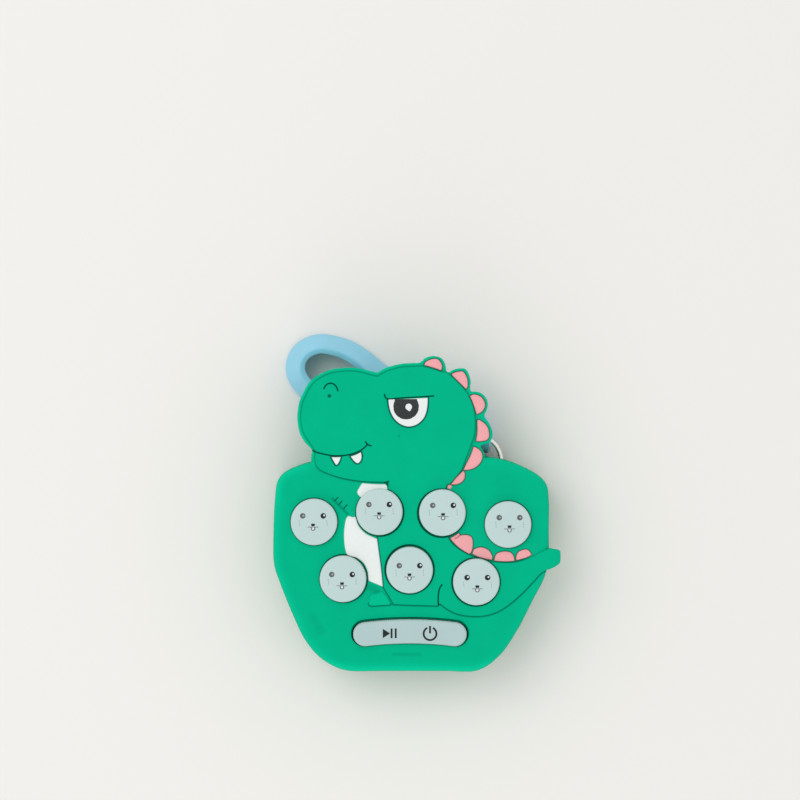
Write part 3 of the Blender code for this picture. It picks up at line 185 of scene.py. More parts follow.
FACE_LINES = (
    ((-22.48, 22.0), (-21.34, 21.48), (-18.48, 20.84), (-16.2, 20.75), (-14.16, 20.98), (-12.11, 21.64),
     (-10.75, 22.5), (-9.89, 23.36)),
    ((-10.36, 23.95), (-10.16, 23.5), (-9.7, 23.18), (-9.16, 23.0)),
    ((-19.84, 35.98), (-19.48, 36.68), (-18.93, 37.09), (-18.3, 37.2), (-17.57, 36.98), (-16.98, 36.36),
     (-16.68, 35.5)),
    ((-6.07, 34.64), (-5.93, 34.05), (-5.52, 33.66), (-4.84, 33.61), (-2.41, 33.84), (1.91, 34.09),
     (5.05, 34.32)),
    ((6.98, -8.57), (6.52, -9.23), (6.25, -10.11), (6.11, -11.59), (6.16, -13.14)),
)
CLAW_LINES = (
    ((-16.66, 11.27), (-17.42, 10.45)), ((-15.8, 10.4), (-16.48, 9.57)), ((-14.64, 9.57), (-15.36, 8.7)),
)
ARM_LINE = ((-17.9, 10.95), (-16.85, 9.85), (-15.6, 8.64), (-14.45, 7.5))
JAW_TICKS = (((-6.1, 14.66), (-5.1, 14.95)), ((-5.22, 14.88), (-5.62, 14.05)))
SPIKE_CREASE = ((11.12, 2.76), (10.62, 2.24), (9.94, 1.9))
SPIKE_DOT = ((8.7, 13.64), 0.55)
NOSTRIL = ((-18.66, 34.32), (-18.56, 34.32))
CHEEK_PIT = ((-2.85, 25.2), (-2.75, 25.2))
LOW_MARK = ((-4.2, -24.35), (2.0, -24.45))
SIDE_MARK = ((-22.6, -15.6), (-20.4, -19.0))
ARM_MARK = ((-9.3, -9.2), (-7.9, -9.9))
# The openings for the buttons: their centres and radii
HOLES = (
    ((-22.09, 5.73), 5.45), ((-7.16, 7.89), 5.55), ((6.91, 7.68), 5.6), ((22.0, 5.14), 5.45),
    ((-15.39, -7.18), 5.55), ((-0.39, -5.09), 5.7), ((14.7, -7.95), 5.6),
)


# Curves and distances in the plane, in millimetres


def between(a: Array, b: Array, c: Array, d: Array, parts: int) -> Array:
    """Points of a Catmull-Rom curve from its second given point up to, but not at, the third."""
    t = (np.arange(parts) / parts)[:, None]
    return (2 * b + t * (c - a) + t**2 * (2 * a - 5 * b + 4 * c - d) + t**3 * (3 * (b - c) + d - a)) / 2


def smooth(points: Outline, step: float, closed: bool = True) -> Array:
    """A Catmull-Rom curve through the points, cut at about one step.

    Args:
        points: The points; one that is given twice makes a corner.
        step: The length of each cut.
        closed: Whether the curve comes back to its start.

    Returns:
        The curve's points; a closed one runs counter-clockwise.
    """
    given = np.asarray(points, float)
    count = len(given)
    found = []
    for i in range(count if closed else count - 1):
        near = given[[k % count if closed else min(max(k, 0), count - 1) for k in range(i - 1, i + 3)]]
        length = float(np.linalg.norm(near[2] - near[1]))
        if length > 0.0:
            found.append(between(*near, parts=max(1, math.ceil(length / step))))
    curve = np.concatenate(found)
    if not closed:
        return np.vstack([curve, given[-1]])
    turned = np.roll(curve, -1, axis=0)
    area = np.sum(curve[:, 0] * turned[:, 1] - turned[:, 0] * curve[:, 1])
    return curve if area > 0 else curve[::-1]


def straight(corners: Outline) -> list[Pair]:
    """The corners given twice, so that smooth() runs straight from one to the next."""
    return [corner for corner in corners for _ in range(2)]


def shield_outline(step: float) -> Array:
    """The body's outline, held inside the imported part's faceted one."""
    return np.clip(smooth(SHIELD, step), SHIELD_LOW, SHIELD_HIGH)


def arc(centre: Pair, radii: Pair, start: float, end: float, count: int) -> list[Pair]:
    """Points on an arc of a circle or an ellipse, between two angles in degrees."""
    return [(centre[0] + radii[0] * math.cos(a), centre[1] + radii[1] * math.sin(a))
            for a in np.radians(np.linspace(start, end, count))]


def circle(centre: Pair, radius: float, count: int = 72) -> Array:
    """A closed counter-clockwise circle of points."""
    turn = np.arange(count) * 2 * math.pi / count
    return np.column_stack([centre[0] + radius * np.cos(turn), centre[1] + radius * np.sin(turn)])


def rectangle(low: Pair, high: Pair, step: float = 1.0) -> Array:
    """A closed rectangle between two corners, cut at about one step."""
    return smooth(straight([low, (high[0], low[1]), high, (low[0], high[1])]), step)


def around(middle: Pair, half: Pair, grow: float = 0.0, step: float = 1.0) -> Array:
    """A closed rectangle round its middle, larger on every side by the growth."""
    x, y = half[0] + grow, half[1] + grow
    return rectangle((middle[0] - x, middle[1] - y), (middle[0] + x, middle[1] + y), step)


def shifted(loop: Array, distance: float, closed: bool = True) -> Array:
    """A line moved to its left: inwards on a counter-clockwise loop.

    Args:
        loop: The line's points.
        distance: How far it moves.
        closed: Whether it is a loop.

    Returns:
        The moved points.
    """
    before, after = np.roll(loop, 1, axis=0), np.roll(loop, -1, axis=0)
    if not closed:
        before[0], after[-1] = loop[0], loop[-1]
    along = after - before
    along /= np.maximum(np.linalg.norm(along, axis=1, keepdims=True), 1e-9)
    return loop + distance * np.column_stack([-along[:, 1], along[:, 0]])


def inside(points: Array, loop: Array) -> Array:
    """Whether each point is inside a closed loop.

    Args:
        points: The points.
        loop: The loop's points.

    Returns:
        One truth value for each point.
    """
    x, y = points[:, 0], points[:, 1]
    found = np.zeros(len(points), bool)
    for (x0, y0), (x1, y1) in zip(loop, np.roll(loop, -1, axis=0)):
        if y0 != y1:
            crosses = (y0 > y) != (y1 > y)
            found ^= crosses & (x < (x1 - x0) * (y - y0) / (y1 - y0) + x0)
    return found


def in_any(points: Array, loops: Sequence[Array]) -> Array:
    """Whether each point is inside at least one of the loops."""
    return np.any([np.zeros(len(points), bool), *[inside(points, loop) for loop in loops]], axis=0)


def away(points: Array, line: Array, closed: bool = True,
         hidden_by: Sequence[Array] = ()) -> Array:
    """Each point's distance from a line, where nothing hides it.

    Args:
        points: The points.
        line: The line's points.
        closed: Whether it is a loop.
        hidden_by: Loops inside which the line doesn't count.

    Returns:
        The distances, endless where the whole line is hidden.
    """
    start, end = (line, np.roll(line, -1, axis=0)) if closed else (line[:-1], line[1:])
    shown = ~in_any((start + end) / 2, hidden_by)
    start, run = start[shown], (end - start)[shown]
    square = np.maximum((run**2).sum(axis=1), 1e-12)
    best = np.full(len(points), np.inf)
    batch = 2000
    for first in range(0, len(points), batch):
        gap = points[first:first + batch, None, :] - start[None]
        share = np.clip((gap * run).sum(axis=2) / square, 0.0, 1.0)
        near = np.linalg.norm(gap - share[..., None] * run, axis=2)
        best[first:first + batch] = near.min(axis=1, initial=np.inf)
    return best


def closeness(points: Array, line: Array, reach: float,
              hidden_by: Sequence[Array] = ()) -> Array:
    """How close each point is to a loop: 1 on it, and 0 from the reach outwards."""
    return np.clip(1 - away(points, line, True, hidden_by) / reach, 0.0, 1.0)


def ease(value: Array) -> Array:
    """A smooth step from 0 to 1."""
    share = np.clip(value, 0.0, 1.0)
    return share * share * (3 - 2 * share)


@dataclass(frozen=True)
class Ramp:
    """A smooth step from 0 to 1 that starts at one value and takes this length, either way."""

    start: float
    length: float

    def at(self, value: Array) -> Array:
        """How far up the ramp each value lies."""
        return ease((value - self.start) / self.length)


def edge_drop(distance: Array, radius: float) -> Array:
    """How far a rounded edge has fallen at each distance in from it."""
    reach = np.clip(1 - distance / radius, 0.0, 1.0)
    return radius * (1 - np.sqrt(1 - reach**2))


# Solids made of layers over a plan


@dataclass
class Line:
    """A groove along a path; its darkness is painted shade in the groove."""

    path: Array
    width: float = 0.2
    depth: float = 0.3
    dark: float = 1.0
    closed: bool = False

    def caps(self) -> list[Array]:
        """Rings of points round the path's ends and its sharp corners.

        Returns:
            Two rings for each end or corner.
        """
        run = np.roll(self.path, -1, axis=0) - self.path
        heading = np.arctan2(run[:, 1], run[:, 0])
        turned = np.abs((heading - np.roll(heading, 1) + math.pi) % (2 * math.pi) - math.pi)
        sharp = turned > 0.5
        if not self.closed:
            sharp[[0, -1]] = True
        turns = np.arange(12) * math.pi / 6
        ring = np.column_stack([np.cos(turns), np.sin(turns)])
        return [corner + share * self.width * ring for corner in self.path[sharp]
                for share in (0.5, 1.0)]

    def profile(self, points: Array) -> Array:
        """How deep each point lies in the groove, as a share of its depth."""
        return np.clip(1 - (away(points, self.path, self.closed) / self.width) ** 2, 0.0, 1.0)


@dataclass(eq=False)
class Edge:
    """A rounded edge along a closed loop, where nothing hides it."""

    loop: Array
    radius: float
    hidden_by: Sequence[Array] = ()

    def drop(self, points: Array) -> Array:
        """How far the surface has fallen at each point, on either side of the loop."""
        return edge_drop(away(points, self.loop, True, self.hidden_by), self.radius)

    def drop_outside(self, points: Array) -> Array:
        """How far the surface outside the loop has fallen at each point."""
        return self.drop(points) * ~inside(points, self.loop)


@dataclass
class Plan:
    """A flat region cut into triangles: the union of its outlines without its holes.

    The triangles' edges follow these loops and the seams. The triangles are fine along the grooves
    and the rounded edges, of which the outward ones have their surface outside their loop.
    """

    outlines: Sequence[Array]
    holes: Sequence[Array] = ()
    seams: Sequence[Array] = ()
    edges: Sequence[Edge] = ()
    lines: Sequence[Line] = ()
    spacing: float = 1.6
    outward: Sequence[Edge] = ()

    def __post_init__(self) -> None:
        """Scatters the points, cuts the region and keeps its triangles counter-clockwise."""
        self.taken: dict[tuple[int, int], list[Array]] = {}
        loops = [*self.outlines, *self.holes, *self.seams]
        for loop in loops:
            self.take(loop, -1.0)
        free = np.asarray([*self.beside_features(), *self.filling()]).reshape(-1, 2)
        points = [Vector(p) for p in (*np.concatenate(loops), *free[self.covers(free)])]
        links = []
        for loop in loops:
            first = len(links)
            links += [(first + i, first + (i + 1) % len(loop)) for i in range(len(loop))]
        cut = delaunay_2d_cdt(points, links, [], 0, 1e-6)
        self.points = np.array([tuple(v) for v in cut[0]])
        faces = np.array([f for f in cut[2] if len(f) == 3])
        a, b, c = (self.points[faces[:, i]] for i in range(3))
        area = (b[:, 0] - a[:, 0]) * (c[:, 1] - a[:, 1]) - (c[:, 0] - a[:, 0]) * (b[:, 1] - a[:, 1])
        faces[area < 0] = faces[area < 0][:, ::-1]
        middle = (a + b + c) / 3
        keep = self.covers(middle) & (np.abs(area) > 1e-9)
        self.faces = faces[keep]
        self.middles = middle[keep]

    def beside_features(self) -> list[Array]:
        """Points along the grooves and the rounded edges.

        Returns:
            The points, which are now taken.
        """
        found = []
        for line in self.lines:
            for share in (0.0, -1.0, 1.0, -0.5, 0.5):
                side = shifted(line.path, share * line.width, line.closed)
                found += self.take(side, line.width * 0.3)
            for ring in line.caps():
                found += self.take(ring, line.width * 0.2)
        for edge in (*self.edges, *self.outward):
            outward = edge in self.outward or any(edge.loop is hole for hole in self.holes)
            for turn in (18, 36, 54, 72, 90, 125):
                distance = edge.radius * (1 - math.cos(math.radians(turn)))
                ring = shifted(edge.loop, -distance if outward else distance)
                ring = ring[away(ring, edge.loop) > distance * 0.93]
                found += self.take(ring, edge.radius * 0.1)
        return found

    def filling(self) -> list[Array]:
        """Points in even rows over the whole region.

        Returns:
            The points, which are now taken.
        """
        corners = np.concatenate(list(self.outlines))
        low, high = corners.min(axis=0), corners.max(axis=0)
        grid = []
        for row, y in enumerate(np.arange(low[1], high[1], self.spacing * 0.87)):
            start = low[0] + (row % 2) * self.spacing / 2
            grid += [(x, y) for x in np.arange(start, high[0], self.spacing)]
        return self.take(np.asarray(grid), self.spacing * 0.6)

    def take(self, points: Array, gap: float) -> list[Array]:
        """Takes the points that keep a gap from all that were taken before.

        Args:
            points: The points offered.
            gap: The gap to keep; below zero all are taken.

        Returns:
            The points taken.
        """
        cell = 0.5
        reach = math.ceil(max(gap, 0.0) / cell)
        span = range(-reach, reach + 1)
        found = []
        for point in points:
            column, row = math.floor(point[0] / cell), math.floor(point[1] / cell)
            near = (other for a in span for b in span
                    for other in self.taken.get((column + a, row + b), ()))
            if gap < 0 or all(math.hypot(point[0] - o[0], point[1] - o[1]) > gap for o in near):
                self.taken.setdefault((column, row), []).append(point)
                found.append(point)
        return found

    def covers(self, points: Array) -> Array:
        """Whether each point is inside the region."""
        return in_any(points, self.outlines) & ~in_any(points, self.holes)

    def drop(self, edges: Sequence[Edge]) -> Array:
        """How far the lowest of these rounded edges has fallen at each point."""
        return np.max([np.zeros(len(self.points)), *[edge.drop(self.points) for edge in edges]], axis=0)

    def carved(self) -> tuple[Array, Array]:
        """What the grooves do to the surface.

        Returns:
            Their depth and their painted shade at each point.
        """
        depth, dark = np.zeros((2, len(self.points)))
        for line in self.lines:
            share = line.profile(self.points)
            depth = np.maximum(depth, share * line.depth)
            dark = np.maximum(dark, share**0.7 * line.dark)
        return depth, dark


@dataclass
class Layer:
    """The part of a solid over one kind of triangle: its low and high surface and its painted shade, below
    zero painted light.
    """

    low: Height
    high: Height
    dark: Height = 0.0


class Skin:
    """The corners and faces of a solid over a plan, while it is built."""

    def __init__(self, plan: Plan) -> None:
        """Starts with nothing.

        Args:
            plan: The plan that the solid stands on.
        """
        self.plan = plan
        self.numbers: dict[tuple[int, float], int] = {}
        self.levels: dict[int, set[float]] = {}
        self.corners: list[tuple[float, float, float]] = []
        self.darkness: list[float] = []
        self.faces: list[tuple[int, ...]] = []

    def corner(self, point: int, level: float, dark: float = 0.0) -> int:
        """A corner over one of the plan's points, made when it is new.

        Args:
            point: The point's number.
            level: The corner's height.
            dark: Its painted shade, below zero painted light; a corner that is asked for again keeps the
                darkest.

        Returns:
            The corner's number.
        """
        key = (int(point), float(level))
        if key not in self.numbers:
            self.numbers[key] = len(self.corners)
            self.corners.append((*self.plan.points[point], level))
            self.darkness.append(dark)
            self.levels.setdefault(key[0], set()).add(key[1])
        number = self.numbers[key]
        self.darkness[number] = max(self.darkness[number], dark)
        return number

    def wall(self, i: int, j: int, top: Array, foot: Array) -> None:
        """Adds the upright face over one side, with every corner that its ends have.

        Args:
            i: The point where the side starts.
            j: The point where it ends.
            top: The wall's upper height at each point.
            foot: Its lower height at each point.
        """
        down = sorted((z for z in self.levels[i] if foot[i] <= z <= top[i]), reverse=True)
        up = sorted(z for z in self.levels[j] if foot[j] <= z <= top[j])
        spots = [self.corner(i, z) for z in down] + [self.corner(j, z) for z in up]
        face = tuple(dict.fromkeys(spots))
        if len(face) > 2:
            self.faces.append(face)


def layered(name: str, plan: Plan, layers: Sequence[Layer],
            kinds: Array | None = None) -> Piece:
    """A closed solid over a plan, each triangle between its own layer's two surfaces.

    Args:
        name: The object's name.
        plan: The plan, in millimetres.
        layers: The surfaces of each kind of triangle, in millimetres.
        kinds: Each triangle's layer number; all are of the first layer if left out.

    Returns:
        The object, in metres.
    """
    kinds = np.zeros(len(plan.faces), int) if kinds is None else kinds
    full = np.ones(len(plan.points))
    lows = [np.round(layer.low * full, 4) for layer in layers]
    highs = [np.round(layer.high * full, 4) for layer in layers]
    darks = [layer.dark * full for layer in layers]
    skin = Skin(plan)
    sides: dict[tuple[int, int], int] = {}
    for (a, b, c), kind in zip(plan.faces, kinds):
        high, low, dark = highs[kind], lows[kind], darks[kind]
        skin.faces.append(tuple(skin.corner(p, high[p], float(dark[p])) for p in (a, b, c)))
        skin.faces.append(tuple(skin.corner(p, low[p]) for p in (c, b, a)))
        for side in ((a, b), (b, c), (c, a)):
            sides[side] = kind
    for (i, j), kind in sides.items():
        other = sides.get((j, i))
        if other is None:
            skin.wall(i, j, highs[kind], lows[kind])
        elif other != kind:
            if highs[kind][i] + highs[kind][j] > highs[other][i] + highs[other][j]:
                skin.wall(i, j, highs[kind], highs[other])
            if lows[kind][i] + lows[kind][j] < lows[other][i] + lows[other][j]:
                skin.wall(i, j, lows[other], lows[kind])
    mesh = bpy.data.meshes.new(name)
    mesh.from_pydata((np.asarray(skin.corners) * MM).tolist(), [], skin.faces)
    # The corners' painted shade and painted light go to the mesh for its finish
    mesh.attributes.new(SHADE, "FLOAT", "POINT").data.foreach_set("value", skin.darkness)
    return placed(name, mesh)


# Objects and turned solids


def linked(name: str, data: bpy.types.ID) -> Piece:
    """A new object in the scene.

    Args:
        name: Its name.
        data: Its data.

    Returns:
        The object.
    """
    piece = bpy.data.objects.new(name, data)
    bpy.context.scene.collection.objects.link(piece)
    return piece


def placed(name: str, mesh: bpy.types.Mesh, sharp: float = 42.0) -> Piece:
    """An object at the origin that is smooth except at its sharp edges.

    Args:
        name: The object's name.
        mesh: Its mesh, in metres.
        sharp: The least angle in degrees that shows as an edge.

    Returns:
        The object.
    """
    mesh.validate()
    mesh.shade_smooth()
    mesh.set_sharp_from_angle(angle=math.radians(sharp))
    return linked(name, mesh)


def settled(piece: Piece, name: str) -> bpy.types.Mesh:
    """The mesh that an object's modifiers give, while the object itself is removed.

    Args:
        piece: The object.
        name: The mesh's new name.

    Returns:
        The mesh.
    """
    made = piece.evaluated_get(bpy.context.evaluated_depsgraph_get())
    mesh = bpy.data.meshes.new_from_object(made)
    bpy.data.objects.remove(piece)
    mesh.name = name
    return mesh


def closed_mesh(name: str, work: bmesh.types.BMesh) -> bpy.types.Mesh:
    """A working mesh made plain, its faces turned outwards.

    Args:
        name: The mesh's name.
        work: The working mesh, which is freed.

    Returns:
        The mesh.
    """
    bmesh.ops.recalc_face_normals(work, faces=work.faces)
    mesh = bpy.data.meshes.new(name)
    work.to_mesh(mesh)
    work.free()
    return mesh


def lathe(name: str, profile: Sequence[Pair], centre: Pair, sides: int = 96) -> Piece:
    """A solid of revolution about an upright axis.

    Args:
        name: The object's name.
        profile: Radius and level pairs in millimetres, from one end of the axis to the other, or
            all off the axis for a ring.
        centre: The axis's place in metres.
        sides: The number of faces round.

    Returns:
        The object.
    """
    work = bmesh.new()
    rings = []
    for radius, level in profile:
        turns = [2 * math.pi * i / sides for i in range(sides)] if radius > 1e-6 else [0.0]
        rings.append([work.verts.new((centre[0] + radius * MM * math.cos(a),
                                      centre[1] + radius * MM * math.sin(a), level * MM))
                      for a in turns])
    pairs = list(zip(rings, rings[1:]))
    if len(rings[0]) > 1:
        pairs.append((rings[-1], rings[0]))
    for low, high in pairs:
        for i in range(sides):
            foot = [low[0]] if len(low) == 1 else [low[i - 1], low[i]]
            head = [high[0]] if len(high) == 1 else [high[i], high[i - 1]]
            work.faces.new((*foot, *head))
    return placed(name, closed_mesh(name, work), 35)


def tube_across(name: str, profile: Sequence[Pair], centre: Sequence[float],
                sides: int = 64) -> Piece:
    """A solid of revolution about an axis along X.

    Args:
        name: The object's name.
        profile: Radius and X pairs in millimetres; a profile off the axis makes a ring.
        centre: The axis's place in millimetres.
        sides: The number of faces round.

    Returns:
        The object.
    """
    piece = lathe(name, profile, (0.0, 0.0), sides)
    turn = Matrix(((0, 0, 1, 0), (1, 0, 0, 0), (0, 1, 0, 0), (0, 0, 0, 1)))
    piece.data.transform(Matrix.Translation(Vector(centre) * MM) @ turn)
    return piece


def softened(profile: Sequence[Pair], radius: float) -> list[Pair]:
    """A profile whose inner corners are turned into arcs, its two ends as they are.

    Args:
        profile: The profile's points.
        radius: The arcs' radius.

    Returns:
        The rounded profile.
    """
    steps = 5
    found: list[Pair] = [profile[0]]
    for before, here, after in zip(profile, profile[1:], profile[2:]):
        corner = Vector(here)
        back = (Vector(before) - corner).normalized()
        ahead = (Vector(after) - corner).normalized()
        half = back.angle(ahead) / 2
        centre = corner + (back + ahead).normalized() * radius / math.sin(half)
        start = corner + back * radius / math.tan(half) - centre
        end = corner + ahead * radius / math.tan(half) - centre
        swing = start.angle_signed(end)
        for step in range(steps + 1):
            turned = start.copy()
            turned.rotate(Matrix.Rotation(-swing * step / steps, 2))
            found.append(tuple(centre + turned))
    return [*found, profile[-1]]


def join(name: str, pieces: Sequence[Piece]) -> Piece:
    """Joins pieces into one, with their materials.

    Args:
        name: The new name.
        pieces: The pieces; the first one takes up the others.

    Returns:
        The first piece.
    """
    with bpy.context.temp_override(active_object=pieces[0], selected_editable_objects=pieces,
                                   object=pieces[0], selected_objects=pieces):
        bpy.ops.object.join()
    pieces[0].name = name
    pieces[0].data.name = name
    return pieces[0]


@dataclass(frozen=True)
class Seat:
    """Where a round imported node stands: its axis in metres, its sizes in millimetres."""

    centre: Pair
    low: float
    high: float
    radius: float

    @classmethod
    def of(cls, node: str) -> "Seat":
        """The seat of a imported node, from its box."""
        a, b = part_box(node)
        return cls(((a.x + b.x) / 2, (a.y + b.y) / 2), a.z / MM, b.z / MM, (b.x - a.x) / 2 / MM)


# Node trees


class Wiring:
    """A node tree while it is built."""

    def __init__(self, tree: bpy.types.NodeTree) -> None:
        """Starts with the tree empty."""
        self.tree = tree
        self.tree.nodes.clear()

    def feed(self, target: Socket, value: object) -> None:
        """Gives an input its value, or links a socket to it.

        Args:
            target: The input.
            value: A plain value or another node's output.
        """
        if isinstance(value, Socket):
            self.tree.links.new(value, target)
        else:
            target.default_value = value

    def node(self, kind: str, inputs: dict[object, object] | None = None,
             **settings: object) -> bpy.types.Node:
        """Adds a node.

        Args:
            kind: The node's type.
            inputs: Values or sockets for its inputs, by name or number.
            **settings: Its own settings, which are made first.

        Returns:
            The node.
        """
        node = self.tree.nodes.new(kind)
        for name, value in settings.items():
            setattr(node, name, value)
        for key, value in (inputs or {}).items():
            self.feed(node.inputs[key], value)
        return node

    def out(self, kind: str, inputs: dict[object, object] | None = None,
            **settings: object) -> Socket:
        """The first output of a new node."""
        return self.node(kind, inputs, **settings).outputs[0]


class Graph(Wiring):
    """A material's node tree, round one shader."""

    def __init__(self, name: str) -> None:
        """Starts a material.

        Args:
            name: The material's name.
        """
        self.material = bpy.data.materials.new(name)
        self.material.use_nodes = True
        super().__init__(self.material.node_tree)
        self.shader = self.node("ShaderNodeBsdfPrincipled")
        self.node("ShaderNodeOutputMaterial", {"Surface": self.shader.outputs[0]})
        self.place = self.node("ShaderNodeTexCoord").outputs["Object"]

    def noise(self, size: float, detail: float = 2.0,
              stretch: Sequence[float] | None = None) -> Socket:
        """A noise on the piece's own coordinates.

        Args:
            size: The size of its grains in millimetres.
            detail: How many finer layers it has.
            stretch: The coordinates' scale along each axis.

        Returns:
            The noise's strength.
        """
        place = self.place
        if stretch is not None:
            place = self.out("ShaderNodeMapping", {"Vector": place, "Scale": stretch})
        sizes = {"Scale": 1 / (size * MM), "Detail": detail, "Vector": place}
        return self.out("ShaderNodeTexNoise", sizes)

    def spread(self, value: Socket, low: float, high: float,
               to_low: float = 0.0, to_high: float = 1.0) -> Socket:
        """A value mapped from one range to another, held at its ends."""
        return self.out("ShaderNodeMapRange", {"Value": value, "From Min": low, "From Max": high,
                                               "To Min": to_low, "To Max": to_high})

    def mix(self, share: object, first: object, second: object) -> Socket:
        """A colour this share of the way from the first colour or socket to the second."""
        return self.node("ShaderNodeMix", {0: share, 6: first, 7: second}, data_type="RGBA").outputs[2]

    def recess(self) -> Socket:
        """The mesh's painted shade value: above zero how deep in a recess the surface is, below zero
        painted light on an edge.
        """
        return self.node("ShaderNodeAttribute", attribute_name=SHADE).outputs["Fac"]

    def bump(self, height: Socket, distance: float) -> None:
        """Raises the surface by the height, up to this many millimetres."""
        sizes = {"Strength": 1.0, "Distance": distance * MM, "Height": height}
        self.paint(Normal=self.out("ShaderNodeBump", sizes))

    def paint(self, **values: object) -> None:
        """Feeds the shader's inputs; an underscore stands for a space."""
        for name, value in values.items():
            self.feed(self.shader.inputs[name.replace("_", " ")], value)


class Shape(Wiring):
    """A Geometry Nodes tree, with named inputs."""

    def __init__(self, name: str) -> None:
        """Starts a tree that takes and gives a geometry.

        Args:
            name: The tree's name.
        """
        super().__init__(bpy.data.node_groups.new(name, "GeometryNodeTree"))
        for way in ("INPUT", "OUTPUT"):
            self.tree.interface.new_socket("Geometry", in_out=way, socket_type="NodeSocketGeometry")
        self.given: dict[str, object] = {}
        self.source = self.node("NodeGroupInput")

    def size(self, name: str, value: object, kind: str = "NodeSocketFloat") -> Socket:
        """Adds a named input with its value.

        Args:
            name: The input's name.
            value: What it is set to when the tree runs.
            kind: The type of its socket.

        Returns:
            The input, as a socket inside the tree.
        """
        item = self.tree.interface.new_socket(name, in_out="INPUT", socket_type=kind)
        self.given[item.identifier] = value
        return next(s for s in self.source.outputs if s.identifier == item.identifier)

    def sum(self, operation: str, *values: object) -> Socket:
        """The result of one Math node on these values."""
        return self.out("ShaderNodeMath", dict(enumerate(values)), operation=operation)

    def vector(self, operation: str, inputs: dict[object, object]) -> Socket:
        """The result of one Vector Math node."""
        return self.out("ShaderNodeVectorMath", inputs, operation=operation)

    def scatter(self, points: Socket, item: Socket,
                rotation: object = (0.0, 0.0, 0.0)) -> Socket:
        """The item set on each of the points."""
        return self.out("GeometryNodeInstanceOnPoints",
                        {"Points": points, "Instance": item, "Rotation": rotation})

    def sweep(self, path: Socket, section: Socket) -> Socket:
        """The section carried along the path, with closed ends."""
        return self.out("GeometryNodeCurveToMesh",
                        {"Curve": path, "Profile Curve": section, "Fill Caps": True})

    def build(self, result: Socket, name: str, finish: "AnyFinish",
              base: bpy.types.Mesh | None = None, sharp: float = 35.0) -> Piece:
        """Runs the tree once and keeps its result as a plain mesh.

        Args:
            result: The geometry that the tree ends with.
            name: The new object's name.
            finish: The finish that the tree sets.
            base: The mesh that the tree starts from, if it needs one.
            sharp: The least angle in degrees that shows as an edge.

        Returns:
            The object, at the origin and with no modifier.
        """
        real = self.out("GeometryNodeRealizeInstances", {0: result})
        done = self.out("GeometryNodeSetMaterial", {"Geometry": real, "Material": paint_of(finish)})
        self.node("NodeGroupOutput", {0: done})
        start = linked(name + "_start", base or bpy.data.meshes.new(name + "_start"))
        modifier = start.modifiers.new("shape", "NODES")
        modifier.node_group = self.tree
        for key, value in self.given.items():
            modifier[key] = value
        return placed(name, settled(start, name), sharp)


# Finishes


def linear(colour: Colour) -> tuple[float, float, float, float]:
    """A display colour from 0 to 255 as scene-linear red, green, blue and alpha."""
    parts = [value / 255 for value in colour]
    return (*(p / 12.92 if p <= 0.04045 else ((p + 0.055) / 1.055) ** 2.4 for p in parts), 1.0)


def dimmed(colour: Sequence[float], share: float) -> tuple[float, float, float, float]:
    """The colour with this share of its light taken away."""
    red, green, blue = (part * (1 - share) for part in colour[:3])
    return red, green, blue, 1.0


# What all the plastics have: how large their patches, speckles and changes of gloss are in millimetres,
# how far the gloss changes, and the share of its light that painted shade takes from a plain recess
PATCH_SIZE = 6.0
SPECKLE_SIZE = 0.45
GLOSS_SIZE = 1.7
GLOSS_CHANGE = 0.05
RECESS_PAINTED_SHADE = 0.55


@dataclass(frozen=True)
class Finish:
    """A moulded plastic or rubber, its colours from 0 to 255 and its grain in millimetres.

    Broad patches darken by one share and fine speckles by another. Painted shade gives a recess the deep
    colour, and painted light gives an outer edge, whose recess value is below zero, the lit one. The coat
    is the weight of a clear gloss, and the shine the level of plain reflection, 0.5 for bare plastic.
    """

    slot: Slot
    colour: Colour
    deep: Colour | None = None
    roughness: float = 0.5
    patches: float = 0.06
    speckles: float = 0.0
    grain: float = 0.012
    grain_size: float = 0.35
    coat: float = 0.0
    shine: float = 0.5
    lit: Colour | None = None

    def make(self) -> bpy.types.Material:
        """The material.

        Returns:
            It, with patches, specks, painted shade in recesses, painted light on edges and a fine grain.
        """
        graph = Graph(self.slot.value)
        base = linear(self.colour)
        broad = graph.spread(graph.noise(PATCH_SIZE), 0.35, 0.65)
        colour = graph.mix(broad, base, dimmed(base, self.patches))
        if self.speckles:
            fine = graph.spread(graph.noise(SPECKLE_SIZE, 3.0), 0.52, 0.68)
            colour = graph.mix(fine, colour, dimmed(base, self.speckles))
        # Painted shade: the recess value mixes in the deep colour
        deep = linear(self.deep) if self.deep else dimmed(base, RECESS_PAINTED_SHADE)
        colour = graph.mix(graph.recess(), colour, deep)
        # Painted light: a recess value below zero mixes in the lit colour
        if self.lit:
            colour = graph.mix(graph.spread(graph.recess(), 0.0, -1.0), colour, linear(self.lit))
        gloss = graph.spread(graph.noise(GLOSS_SIZE, 3.0), 0.3, 0.7, self.roughness - GLOSS_CHANGE,
                             self.roughness + GLOSS_CHANGE)
        graph.bump(graph.noise(self.grain_size, 3.0), self.grain)
        graph.paint(Base_Color=colour, Roughness=gloss, IOR=1.46, Coat_Weight=self.coat,
                    Coat_Roughness=0.08, Specular_IOR_Level=self.shine)
        return graph.material


@dataclass(frozen=True)
class Metal:
    """A plated metal, roughened by fine scratches and dulled by stains."""

    slot: Slot
    colour: Colour
    roughness: float = 0.15
    scratch: float = 0.1
    dull: float = 0.1

    def make(self) -> bpy.types.Material:
        """The material.

        Returns:
            It, with stains and long fine scratches.
        """
        graph = Graph(self.slot.value)
        base = linear(self.colour)
        stains = graph.spread(graph.noise(1.6, 4.0), 0.45, 0.7)
        scratches = graph.noise(0.12, 2.0, (1.0, 0.12, 0.12))
        gloss = graph.spread(scratches, 0.35, 0.65, self.roughness, self.roughness + self.scratch)
        graph.bump(scratches, 0.003)
        graph.paint(Base_Color=graph.mix(stains, base, dimmed(base, self.dull)), Roughness=gloss,
                    Metallic=1.0)
        return graph.material


